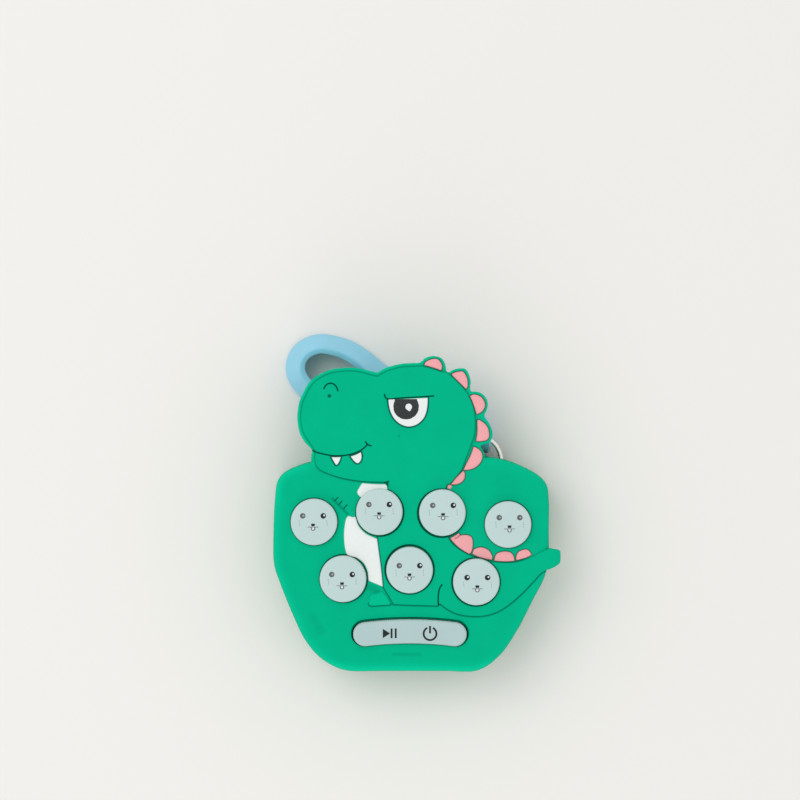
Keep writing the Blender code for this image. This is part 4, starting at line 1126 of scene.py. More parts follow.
@dataclass(frozen=True)
class Laminate:
    """A circuit board: its mask, and the tracks sunk in it, this many millimetres apart."""

    slot: Slot
    colour: Colour
    track: Colour
    spacing: float = 2.4

    def make(self) -> bpy.types.Material:
        """The material.

        Returns:
            It, with its tracks a little lower than its mask.
        """
        graph = Graph(self.slot.value)
        sizes = {"Scale": 1 / (self.spacing * MM), "Randomness": 0.6, "Vector": graph.place}
        edges = graph.out("ShaderNodeTexVoronoi", sizes, distance="CHEBYCHEV",
                          feature="DISTANCE_TO_EDGE")
        track = graph.spread(edges, 0.05, 0.08)
        graph.bump(track, 0.03)
        graph.paint(Base_Color=graph.mix(track, linear(self.track), linear(self.colour)),
                    Roughness=0.35, Coat_Weight=0.3, Coat_Roughness=0.15)
        return graph.material


# Each finish's deep colour is painted shade in recesses, and the green's lit colour is painted light on
# edges
GREEN_SOFT = Finish(Slot.GREEN, (0, 180, 135), (0, 66, 56), roughness=0.6, patches=0.05,
                    speckles=0.03, shine=0.03, lit=(0, 208, 160))
PINK_SOFT = Finish(Slot.PINK, (239, 168, 171), (120, 50, 56), roughness=0.6, patches=0.04,
                   speckles=0.1, shine=0.1)
WHITE_SOFT = Finish(Slot.WHITE, (232, 237, 235), (110, 122, 118), patches=0.03, speckles=0.02,
                    shine=0.15)
PUPIL_SOFT = Finish(Slot.BLACK, (58, 61, 62), (20, 20, 22), patches=0.1, speckles=0.3, grain=0.01,
                    grain_size=0.2, shine=0.1)
INK_BLACK = Finish(Slot.BLACK, (26, 27, 29), roughness=0.45, patches=0.1, grain=0.003, shine=0.3)
INK_SOFT = replace(INK_BLACK, colour=(94, 94, 92), speckles=0.1)
INK_FAINT = replace(INK_SOFT, colour=(152, 166, 168))
INK_WHITE = replace(INK_BLACK, slot=Slot.WHITE, colour=(214, 224, 222), patches=0.02)
GREEN_SHELL = Finish(Slot.SHELL, (0, 150, 114), (0, 70, 58), roughness=0.42, patches=0.04,
                     speckles=0.05, grain=0.02, grain_size=0.22, shine=0.3)
CLEAR_CAP = Finish(Slot.CAP, (189, 211, 210), (96, 124, 126), roughness=0.4, patches=0.02,
                   speckles=0.03, grain=0.002, grain_size=0.6, coat=0.1, shine=0.2)
CLEAR_BAR = replace(CLEAR_CAP, colour=(177, 200, 200), patches=0.03, speckles=0.02)
SILICONE = Finish(Slot.SILICONE, (206, 210, 208), roughness=0.6, patches=0.05, grain=0.006)
EPOXY = Finish(Slot.EPOXY, (22, 22, 24), roughness=0.2, patches=0.1, grain=0.01, grain_size=1.0)
LAMP = Finish(Slot.LAMP, (232, 224, 176), roughness=0.15, patches=0.05, grain=0.001, coat=0.5)
SPEAKER = Finish(Slot.SPEAKER, (46, 46, 50), roughness=0.55, patches=0.1, speckles=0.05, grain=0.02,
                 grain_size=0.3)
BLUE_STRAP = Finish(Slot.STRAP, (139, 207, 232), (84, 148, 176), roughness=0.35, patches=0.05,
                    grain=0.004, grain_size=0.8, coat=0.2, shine=0.3)
STEEL = Metal(Slot.STEEL, (176, 178, 180), roughness=0.28, scratch=0.15, dull=0.2)
NICKEL = Metal(Slot.NICKEL, (250, 246, 238), roughness=0.22, scratch=0.08, dull=0.06)
BOARD = Laminate(Slot.BOARD, (18, 92, 48), track=(52, 138, 78))
AnyFinish = Finish | Metal | Laminate


@cache
def paint_of(finish: AnyFinish) -> bpy.types.Material:
    """The finish's one material, made when it is first asked for."""
    return finish.make()


def cover_with(piece: Piece, finish: AnyFinish) -> None:
    """Gives a piece this finish alone."""
    piece.data.materials.clear()
    piece.data.materials.append(paint_of(finish))


def dress(piece: Piece, finish: AnyFinish, body: str, *nodes: str) -> Piece:
    """Gives a piece its finish, its body and the nodes it stands for.

    Args:
        piece: The finished piece.
        finish: Its finish.
        body: The body that it rides on.
        *nodes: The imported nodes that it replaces.

    Returns:
        The piece.
    """
    cover_with(piece, finish)
    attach(piece, body)
    if nodes:
        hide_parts(*nodes)
    log.info("%s: %d faces on %s", piece.name, len(piece.data.polygons), body)
    return piece


# The soft cover and what is moulded into it


@dataclass(frozen=True)
class Groove:
    """One style of engraved line, border, pit or faint mark, and the paths that have it; its darkness is
    painted shade in the groove.
    """

    paths: Sequence[Outline]
    step: float
    width: float
    depth: float
    dark: float
    closed: bool = False

    def lines(self) -> list[Line]:
        """The grooves along these paths."""
        return [Line(smooth(path, self.step, self.closed), self.width, self.depth, self.dark,
                     self.closed) for path in self.paths]


# Steps, widths and depths in millimetres, then how dark the painted shade in each groove is
GROOVES = (
    Groove(FACE_LINES, 0.25, 0.2, 0.3, 1.0),
    Groove((*CLAW_LINES, *JAW_TICKS), 0.2, 0.16, 0.2, 0.9),
    Groove((ARM_LINE,), 0.4, 0.4, 0.12, 0.38),
    Groove((*HEAD_SPIKES, *TAIL_SPIKES), 0.25, 0.2, 0.2, 0.75, True),
    Groove((EYE[:13],), 0.25, 0.42, 0.2, 1.0),
    Groove(TEETH, 0.25, 0.42, 0.2, 1.0, True),
    Groove((BELLY[8:13],), 0.4, 0.3, 0.15, 0.7),
    Groove((NOSTRIL,), 0.8, 0.46, 0.35, 0.85),
    Groove((CHEEK_PIT,), 0.8, 0.3, 0.06, 0.3),
    Groove((LOW_MARK,), 0.8, 0.6, 0.04, 0.14),
    Groove((SIDE_MARK,), 0.8, 1.3, 0.04, 0.1),
    Groove((ARM_MARK,), 0.8, 1.1, 0.08, 0.22),
)

# How the figure's head and body rise, in from its edge
HEAD_DOME = Ramp(0.4, 9.0)
BODY_DOME = Ramp(0.0, 3.0)
# Where the neck rises, and where the painted shade along the figure's border and the painted light
# on the plate's rim change, along Y or X
NECK_RISE = Ramp(10.0, 9.0)
JAW_FADE = Ramp(15.5, 4.0)
TIP_FADES = (Ramp(24.5, 3.0), Ramp(-3.4, 0.8))
FOOT_SHADE = Ramp(-12.4, -0.6)
LOW_RIM = Ramp(-25.0, -2.0)
LEFT_RIMS = (Ramp(-20.0, -6.0), Ramp(8.0, 4.0))


@dataclass
class Cover:
    """The soft cover: plate and skirt, the raised figure on it and its coloured inlays."""

    skirt_bottom: float = 9.2
    plate_bottom: float = 14.9
    flap_bottom: float = 15.2
    lip_top: float = 16.9
    plate_top: float = 17.7
    foot_rise: float = 0.22
    body_top: float = 18.02
    body_crown: float = 0.06
    head_edge: float = 18.2
    head_crown: float = 0.38
    skirt: float = 1.6
    plate_rounding: float = 1.7
    flap_rounding: float = 0.45
    figure_rounding: float = 0.3
    foot_rounding: float = 0.22
    mouth_rounding: float = 0.15
    throat_radius: float = 5.34
    throat_stretch: float = 1.021
    mouth_stretch: float = 1.012
    # How far the painted shade beside the figure and the painted light on the plate's rim reach
    seam_reach: float = 0.44
    rim_reach: float = 1.9
    pupil_centre: Pair = (-1.18, 31.91)
    pupil_radius: float = 3.0
    brow: float = 33.62
    glint_centre: Pair = (-0.59, 31.83)
    glint_radius: float = 0.74
    glint_tail: float = 0.26
    tail_heading: float = 282.0
    tail_spread: float = 0.3
    step: float = 0.45

    def __post_init__(self) -> None:
        """Draws the outlines of the shapes, and of the openings: each throat and its wider mouth."""
        self.shield = shield_outline(self.step)
        self.flap = smooth(FLAP, self.step)
        self.figure = smooth(DINOSAUR, self.step)
        self.foot = smooth(FOOT, 0.3)
        self.throats = [*[circle(place, self.throat_radius, 96) for place in BUTTON_CENTRES],
                        self.slot(0.08, self.throat_stretch)]
        self.mouths = [*[circle(place, radius, 96) for place, radius in HOLES],
                       self.slot(0.3, self.mouth_stretch) + np.array([0.0, 0.2])]

    def slot(self, grow: float, stretch: float) -> Array:
        """The function bar's outline, larger all round and stretched along X."""
        return (bar_outline(grow, 0.4) - BAR_CENTRE) * np.array([stretch, 1.0]) + BAR_CENTRE

    def figure_top(self, points: Array) -> Array:
        """The height of the raised figure's surface, before its edge is rounded.

        Args:
            points: Places on it.

        Returns:
            The height at each of them.
        """
        depth = away(points, self.figure)
        head = self.head_edge + self.head_crown * HEAD_DOME.at(depth)
        body = self.body_top + self.body_crown * BODY_DOME.at(depth)
        return body + (head - body) * NECK_RISE.at(points[:, 1])

    def border(self, points: Array) -> Array:
        """The painted shade on the plate beside the raised figure and its foot.

        Args:
            points: Places on the plate.

        Returns:
            The painted shade at each of them.
        """
        x, y = points[:, 0], points[:, 1]
        tip = TIP_FADES[0].at(x) * TIP_FADES[1].at(y)
        figure = closeness(points, self.figure, self.seam_reach) ** 0.8
        foot = closeness(points, self.foot, self.seam_reach) ** 0.8
        return np.maximum(figure * (1.0 - 0.6 * JAW_FADE.at(y)) * (0.85 - 0.7 * tip),
                          foot * FOOT_SHADE.at(y) * 0.85)

    def light(self, points: Array) -> Array:
        """The painted light on the plate's outer edges and the flap's rim: how much lighter they are drawn.

        Args:
            points: Places on the plate.

        Returns:
            The painted light at each of them.
        """
        x, y = points[:, 0], points[:, 1]
        share = 0.45 + 0.5 * LOW_RIM.at(y) + 0.35 * LEFT_RIMS[0].at(x) * LEFT_RIMS[1].at(y)
        rim = closeness(points, self.shield, self.rim_reach, (self.flap, self.figure))
        return np.maximum(rim * share, closeness(points, self.flap, 1.0, (self.shield,)) * 0.4)

    def cover(self) -> None:
        """The green moulding."""
        inner = shifted(self.shield, self.skirt)
        plate_edges = [Edge(self.shield, self.plate_rounding, (self.flap, self.figure)),
                       Edge(self.flap, self.flap_rounding, (self.shield,))]
        mouth_edges = [Edge(mouth, self.mouth_rounding) for mouth in self.mouths]
        figure_edges = [Edge(self.figure, self.figure_rounding)]
        foot_edges = [Edge(self.foot, self.foot_rounding)]
        lines = [line for groove in GROOVES for line in groove.lines()]
        lines += [Line(loop, self.seam_reach, 0.0, 0.0, True) for loop in (self.figure, self.foot)]
        plan = Plan([self.shield, self.flap, self.figure], self.throats,
                    [*self.mouths, inner, self.foot], [*plate_edges, *figure_edges, *foot_edges],
                    lines, 1.5, mouth_edges)
        points, middles = plan.points, plan.middles
        depth, dark = plan.carved()
        brim = plan.drop(mouth_edges)
        plate = self.plate_top - np.maximum(plan.drop(plate_edges), brim)
        figure = self.figure_top(points) - np.maximum(plan.drop(figure_edges), brim)
        foot = self.plate_top + self.foot_rise - np.maximum(plan.drop(foot_edges), brim)
        # Painted shade on the plate in grooves and beside the figure; where there is none, painted light on
        # its outer edges
        plate_shade_and_light = np.maximum(dark, self.border(points))
        plate_shade_and_light = np.where(plate_shade_and_light > 0.02, plate_shade_and_light, -self.light(points))
        throat = np.min([away(points, hole) for hole in self.throats], axis=0)
        # The figure's grooves take painted shade, the foot patch painted light, and the lip inside each
        # opening painted shade that deepens towards the throat
        tops = ((plate - depth, plate_shade_and_light), (figure - depth, dark),
                (foot - depth, np.where(dark > 0.02, dark, -0.3)),
                (self.lip_top, np.clip(0.3 + 1.2 * throat, 0.0, 1.0)))
        layers = [Layer(low, high, shade) for high, shade in tops
                  for low in (self.plate_bottom, self.skirt_bottom, self.flap_bottom)]
        low_kind = np.where(inside(middles, inner), 0, np.where(inside(middles, self.shield), 1, 2))
        top_kind = np.where(inside(middles, self.foot), 2, 0)
        top_kind[inside(middles, self.figure)] = 1
        top_kind[in_any(middles, self.mouths)] = 3
        piece = layered("soft_cover_moulding", plan, layers, top_kind * 3 + low_kind)
        dress(piece, GREEN_SOFT, "case", "soft_cover")

    def inlay(self, name: str, outline: Outline, finish: Finish, base: float | Callable,
              rise: float, soft: float, node: str | None = None,
              crease: Outline | None = None) -> None:
        """A coloured inlay with a pillowed top.

        Args:
            name: The piece's name.
            outline: Its traced outline.
            finish: Its finish.
            base: The height of the surface that it lies in, or a function that gives it.
            rise: How far its middle stands above that surface.
            soft: How far in from its edge it keeps rising.
            node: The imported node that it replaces.
            crease: A groove across it.
        """
        loop = smooth(outline, 0.22)
        grooves = Groove((crease,), 0.2, 0.16, 0.16, 0.6).lines() if crease else []
        plan = Plan([loop], (), (), [Edge(loop, soft / 2)], grooves, 0.7)
        level = base(plan.points) if callable(base) else base
        share = np.clip(away(plan.points, loop) / soft, 0.0, 1.0)
        sunk = 0.03
        high = level - sunk + (rise + sunk) * np.sqrt(1 - (1 - share) ** 2)
        depth, dark = plan.carved()
        # Painted shade in the gap round the inlay's edge
        dark = np.maximum(dark, 0.45 * closeness(plan.points, loop, 0.16))
        piece = layered(name, plan, [Layer(level - 0.7, high - depth, dark)])
        dress(piece, finish, "case", *([node] if node else []))

    def inlays(self) -> None:
        """The spikes, belly, throat, eye and teeth."""
        plate, figure = self.plate_top, self.figure_top
        for number, outline in enumerate(HEAD_SPIKES, 1):
            self.inlay(f"head_spike_soft_{number}", outline, PINK_SOFT, plate, rise=0.3, soft=0.9,
                       node=f"head_spike_{number}")
        dot = circle(*SPIKE_DOT, count=24)
        self.inlay("head_spike_dot", dot, PINK_SOFT, plate, rise=0.2, soft=0.4)
        for number, outline in enumerate(TAIL_SPIKES, 1):
            self.inlay(f"tail_spike_soft_{number}", outline, PINK_SOFT, plate, rise=0.2, soft=0.7,
                       node=f"tail_spike_{number}", crease=SPIKE_CREASE if number == 1 else None)
        for name, outline in (("belly", BELLY), ("throat", THROAT)):
            self.inlay(f"{name}_soft", outline, WHITE_SOFT, plate, rise=0.14, soft=0.6,
                       node=f"{name}_inlay")
        self.inlay("eye_white_soft", EYE, WHITE_SOFT, figure, rise=0.08, soft=0.5, node="eye_white")
        for number, outline in enumerate(TEETH, 1):
            self.inlay(f"tooth_soft_{number}", outline, WHITE_SOFT, figure, rise=0.1, soft=0.4,
                       node=f"tooth_{number}")
        self.pupil()

    def pupil(self) -> None:
        """The dark pupil, cut off by the brow, and its drop-shaped highlight."""
        disc = circle(self.pupil_centre, self.pupil_radius, 72)
        disc[:, 1] = np.minimum(disc[:, 1], self.brow)
        plan = Plan([disc], spacing=0.6)
        surface = self.figure_top(plan.points)
        edge = np.clip(away(plan.points, disc) / 0.3, 0.0, 1.0)
        high = surface + 0.07 + 0.06 * np.sqrt(1 - (1 - edge) ** 2)
        piece = layered("eye_pupil_soft", plan, [Layer(surface - 0.4, high)])
        dress(piece, PUPIL_SOFT, "case", "eye_pupil")
        turns = np.linspace(0, 2 * math.pi, 48, endpoint=False)
        past = (turns - math.radians(self.tail_heading)) / self.tail_spread
        reach = self.glint_radius + self.glint_tail * np.exp(-(past**2))
        x, y = self.glint_centre
        glint = np.column_stack([x + reach * np.cos(turns), y + reach * np.sin(turns)])
        spot = Plan([glint], spacing=0.4)
        surface = self.figure_top(spot.points)
        piece = layered("eye_highlight", spot, [Layer(surface, surface + 0.15)])
        dress(piece, WHITE_SOFT, "case")

    def build(self) -> None:
        """The green moulding and its inlays."""
        self.cover()
        self.inlays()


# Buttons and function bar

BAR_CENTRE = (-0.313, -19.188)
BAR_BEND = 81.0
BAR_SPAN = 25.9
BAR_BREADTH = 5.5
BUTTON_CENTRES = (
    (-22.1, 5.71), (-7.26, 8.02), (7.07, 7.82), (21.97, 5.12), (-15.52, -7.23), (-0.38, -5.22),
    (14.77, -7.92),
)

# Where each face is printed: the point between its eyes, from the cap's centre
EYE_PLACES = (
    (-0.21, 1.39), (-0.05, 1.66), (0.13, 1.66), (0.32, 1.58), (-0.21, 1.02), (-0.03, 1.02),
    (0.21, 1.02),
)
# The eyes that a painted reflection turns grey with a faint spot, for each face: -1 is the left one and 1
# the right one
GLARED_EYES = ((-1,), (-1,), (-1,), (-1, 1), (-1,), (-1,), ())

# Printed shapes: a face's from the point between its eyes, the bar's from the bar's centre
NOSE = ((-0.44, -1.78), (0.44, -1.78), (0.36, -2.34), (-0.36, -2.34))
MOUTH = ((-1.22, -2.5), (1.22, -2.5), (1.22, -2.62), (-1.22, -2.62))
TOOTH = (
    (-0.46, -2.52), (-0.46, -2.52), (0.46, -2.52), (0.46, -2.52), (0.48, -2.95), (0.28, -3.3),
    (-0.28, -3.3), (-0.48, -2.95),
)
PLAY_MARK = (
    ((-6.15, 0.62), (-4.5, -0.4), (-6.15, -1.46)),
    ((-4.38, 0.72), (-3.96, 0.72), (-3.96, -1.48), (-4.38, -1.48)),
    ((-3.44, 0.72), (-3.02, 0.72), (-3.02, -1.48), (-3.44, -1.48)),
)
POWER_STEM = ((4.35, 1.3), (4.77, 1.3), (4.77, -0.38), (4.35, -0.38))


def bar_outline(grow: float, step: float) -> Array:
    """The curved bar's outline in millimetres.

    Args:
        grow: How much larger it is all round.
        step: How finely it is cut.

    Returns:
        The outline's points.
    """
    pivot = np.array([BAR_CENTRE[0], BAR_CENTRE[1] - BAR_BEND])
    half = BAR_BREADTH / 2 + grow
    reach = (BAR_SPAN - BAR_BREADTH) / 2 / BAR_BEND
    found = []
    for side in (1, -1):
        end = side * reach
        middle = pivot + BAR_BEND * np.array([math.sin(end), math.cos(end)])
        turns = np.linspace(0, math.pi, round(math.pi * half / step)) - side * math.pi / 2 - end
        found += [middle + half * np.array([math.cos(a), math.sin(a)]) for a in turns]
        radius = BAR_BEND + side * half
        for swing in np.linspace(end, -end, round(2 * reach * radius / step))[1:-1]:
            found.append(pivot + radius * np.array([math.sin(swing), math.cos(swing)]))
    return np.asarray(found)


@dataclass
class Buttons:
    """The seven press buttons, each with its printed face."""

    radius: float = 5.3
    flange: float = 6.0
    hollow: float = 3.4
    bevel: float = 0.5
    flange_bottom: float = 12.3
    flange_top: float = 13.1
    ceiling: float = 17.8
    top: float = 19.16
    crown: float = 0.18
    rim: float = 0.45
    ink: float = 0.025
    eye_spread: float = 2.33
    eye_radius: float = 0.63
    glared_eye_radius: float = 0.62
    tick_spread: float = 3.13
    tick_rows: tuple[float, ...] = (-0.95, -1.45, -1.95)

    def surface(self, distance: Height) -> Height:
        """The height of the domed cap at a distance from its axis."""
        return self.top - self.crown * (distance / self.radius) ** 2

    def cap(self, number: int, place: Pair) -> None:
        """One cap with its flange, domed on top and hollow below.

        Args:
            number: The button's number.
            place: The cap's centre.
        """
        flat = self.radius - self.rim
        edge = arc((flat, self.surface(flat) - self.rim), (self.rim, self.rim), 0, 90, 7)
        dome = [(r, self.surface(r)) for r in np.linspace(flat, 0.0, 14)]
        profile = [(0.0, self.ceiling), (self.hollow - self.bevel, self.ceiling),
                   (self.hollow, self.ceiling - self.bevel), (self.hollow, self.flange_bottom),
                   (self.flange, self.flange_bottom), (self.flange, self.flange_top),
                   (self.radius, self.flange_top), *edge, *dome[1:]]
        piece = lathe(f"button_cap_{number}", profile, (place[0] * MM, place[1] * MM))
        dress(piece, CLEAR_CAP, f"mole_button_{number}", f"mole_button_{number}")

    def mark(self, number: int, loop: Array, lift: float = 0.0) -> Piece:
        """A printed shape on a cap: thin, and following its dome.

        Args:
            number: The button's number.
            loop: The shape's outline, from the point between the eyes.
            lift: How far it lies above other ink.

        Returns:
            The object, not dressed yet.
        """
        centre = np.asarray(BUTTON_CENTRES[number - 1])
        plan = Plan([loop + np.asarray(EYE_PLACES[number - 1]) + centre], spacing=0.5)
        level = self.surface(np.linalg.norm(plan.points - centre, axis=1))
        return layered("ink", plan, [Layer(level - 0.1, level + self.ink + lift)])

    def face(self, number: int) -> None:
        """One printed face: two eyes, a nose, a mouth line, a tooth and cheek ticks; a glared eye is drawn
        grey with a faint spot, as painted reflection.

        Args:
            number: The button's number.
        """
        eye = self.eye_spread
        glared = GLARED_EYES[number - 1]
        clear = [side for side in (-1, 1) if side not in glared]
        tick = ((-0.06, 0.0), (0.06, 0.0), (0.06, -0.3), (-0.06, -0.3))
        ticks = [[(side * self.tick_spread + 0.05 * row + x, level + y) for x, y in tick]
                 for side in (-1, 1) for row, level in enumerate(self.tick_rows)]
        inner = [(x * 0.58, -2.62 + (y + 2.52) * 0.66) for x, y in TOOTH]
        dark = [(circle((side * eye, 0.0), self.eye_radius, 28), 0.0) for side in clear]
        # Painted reflection: a glared eye is grey instead of black
        soft = [(circle((side * eye, 0.0), self.glared_eye_radius, 28), 0.0) for side in glared]
        faint = [(smooth(straight(corners), 0.4), 0.0) for corners in ticks]
        light = [(circle((side * eye + 0.2, 0.12), 0.22, 28), 0.01) for side in clear]
        dark.append((smooth(straight(NOSE), 0.1), 0.006))
        soft += [(smooth(straight(MOUTH), 0.4), 0.0), (smooth(TOOTH, 0.1), 0.004)]
        # Painted reflection: the faint spot on each glared eye
        faint += [(circle((side * eye + 0.14, 0.02), 0.25, 28), 0.01) for side in glared]
        light.append((smooth(inner, 0.1), 0.012))
        for name, finish, shapes in (("dark", INK_BLACK, dark), ("soft", INK_SOFT, soft),
                                     ("faint", INK_FAINT, faint), ("light", INK_WHITE, light)):
            inks = [self.mark(number, loop, lift) for loop, lift in shapes]
            dress(join(f"face_{name}_{number}", inks), finish, f"mole_button_{number}")

    def build(self) -> None:
        """All seven caps and faces."""
        for number, place in enumerate(BUTTON_CENTRES, 1):
            self.cap(number, place)
            self.face(number)


@dataclass
class FunctionBar:
    """The rocking bar with its two printed marks."""

    bottom: float = 12.3
    top: float = 18.8
    ear_half: float = 3.0
    ear_reach: float = 0.8
    ear_top: float = 12.8
    rounding: float = 0.6
    crown: float = 0.12
    ring_place: Pair = (4.56, -0.47)
    ring_radii: Pair = (1.66, 1.24)
    ring_ends: Pair = (116, 424)

    def surface(self, points: Array) -> Array:
        """The height of the bar's top before its edge is rounded."""
        across = (points[:, 1] - BAR_CENTRE[1]) / (BAR_BREADTH / 2)
        return self.top - self.crown * np.clip(across, -1.2, 1.2) ** 2

    def mark(self, loop: Array) -> Piece:
        """A thin printed shape, its outline from the bar's centre.

        Args:
            loop: The outline.

        Returns:
            The object, not dressed yet.
        """
        plan = Plan([loop + BAR_CENTRE], spacing=0.4)
        level = self.surface(plan.points)
        return layered("ink", plan, [Layer(level - 0.1, level + 0.03)])

    def build(self) -> None:
        """The bar, and its marks."""
        outline = bar_outline(0.0, 0.3)
        ears = around(BAR_CENTRE, (self.ear_half, BAR_BREADTH / 2 + self.ear_reach), 0.0, 0.3)
        edge = Edge(outline, self.rounding)
        plan = Plan([outline, ears], edges=[edge], spacing=0.9)
        layers = [Layer(self.bottom, self.surface(plan.points) - edge.drop(plan.points)),
                  Layer(self.bottom, self.ear_top)]
        kinds = np.where(inside(plan.middles, outline), 0, 1)
        piece = layered("function_bar_cap", plan, layers, kinds)
        dress(piece, CLEAR_BAR, "function_bar", "function_bar")
        low, high = self.ring_ends
        outer, inner = (arc(self.ring_place, (radius, radius), low, high, 44)
                        for radius in self.ring_radii)
        loops = [*[smooth(straight(corners), 0.3) for corners in PLAY_MARK],
                 np.asarray(outer + inner[::-1]), smooth(straight(POWER_STEM), 0.3)]
        marks = [self.mark(loop) for loop in loops]
        dress(join("function_bar_marks", marks), INK_BLACK, "function_bar")


# Ring and strap


@dataclass
class SplitRing:
    """The split ring: flat wire wound twice round, with one step between the turns."""

    centre: tuple[float, float, float] = (15.024, 19.483, 3.65)
    radius: float = 5.65
    wire_width: float = 1.0
    wire_height: float = 0.9
    wire_corner: float = 0.38
    gap: float = 0.1
    kink: float = 40.0
    steps: int = 360

    def build(self) -> None:
        """The ring, swept along its two turns."""
        tree = Shape("split_ring_path")
        radius = tree.size("Radius", self.radius * MM)
        width = tree.size("Wire Width", self.wire_width * MM)
        height = tree.size("Wire Height", self.wire_height * MM)
        pitch = tree.size("Pitch", (self.wire_height + self.gap) * MM)
        kink = tree.size("Kink", math.radians(self.kink))
        centre = tree.size("Centre", [v * MM for v in self.centre], "NodeSocketVector")
        line = tree.out("GeometryNodeMeshLine", {"Count": self.steps + 1})
        share = tree.sum("DIVIDE", tree.out("GeometryNodeInputIndex"), float(self.steps))
        half_kink = tree.sum("MULTIPLY", kink, 0.5)
        turn = tree.sum("MULTIPLY_ADD", share, tree.sum("SUBTRACT", 4 * math.pi, kink), half_kink)
        past = tree.sum("ADD", tree.sum("SUBTRACT", turn, 2 * math.pi), half_kink)
        step = tree.sum("DIVIDE", past, kink)
        lift = tree.out("ShaderNodeMapRange", {"Value": step, "To Min": -0.5, "To Max": 0.5},
                        interpolation_type="SMOOTHSTEP")
        angle = tree.sum("ADD", turn, math.pi)
        spot = tree.out("ShaderNodeCombineXYZ", {
            0: tree.sum("MULTIPLY", tree.sum("COSINE", angle), radius),
            1: tree.sum("MULTIPLY", tree.sum("SINE", angle), radius),
            2: tree.sum("MULTIPLY", lift, pitch)})
        place = tree.vector("ADD", {0: spot, 1: centre})
        path = tree.out("GeometryNodeSetPosition", {"Geometry": line, "Position": place})
        curve = tree.out("GeometryNodeMeshToCurve", {"Mesh": path})
        upright = tree.out("GeometryNodeSetCurveNormal", {"Curve": curve}, mode="Z_UP")
        section = tree.out("GeometryNodeCurvePrimitiveQuadrilateral", {"Width": width, "Height": height})
        soft = tree.out("GeometryNodeFilletCurve",
                        {"Curve": section, "Radius": self.wire_corner * MM, "Count": 6}, mode="POLY")
        dress(tree.build(tree.sweep(upright, soft), "ring_wire", NICKEL), NICKEL, "ring", "split_ring")


# The strap's route: across and along in shares of its length, lean in degrees, and share of its lift
STRAP_ROUTE = (
    (0.0, 0.0, 90, 1.0), (-0.0026, 0.0194, 90, 1.0), (-0.0136, 0.043, 90, 1.0), (-0.032, 0.0614, 90, 0.95),
    (-0.066, 0.086, 90, 0.8), (-0.137, 0.133, 90, 0.6), (-0.267, 0.159, 77, 0.48), (-0.392, 0.183, 55, 0.2),
    (-0.509, 0.221, 33, 0.0), (-0.595, 0.277, 28, 0.0), (-0.68, 0.318, 26, 0.0), (-0.752, 0.332, 25, 0.0),
    (-0.827, 0.33, 25, 0.0), (-0.891, 0.294, 25, 0.0), (-0.921, 0.237, 25, 0.0), (-0.914, 0.175, 25, 0.0),
    (-0.867, 0.116, 25, 0.0), (-0.781, 0.061, 22, 0.0), (-0.648, 0.017, 8, 0.0), (-0.452, 0.009, -30, 0.0),
    (-0.261, 0.061, -74, 0.06), (-0.2, 0.104, -82, 0.12), (-0.155, 0.117, -88, 0.17),
    (-0.11, 0.106, -90, 0.14), (-0.068, 0.082, -90, 0.08), (-0.032, 0.0605, -90, 0.02),
    (-0.0136, 0.043, -90, 0.0), (-0.0026, 0.0194, -90, 0.0), (0.0, 0.0, -90, 0.0),
)


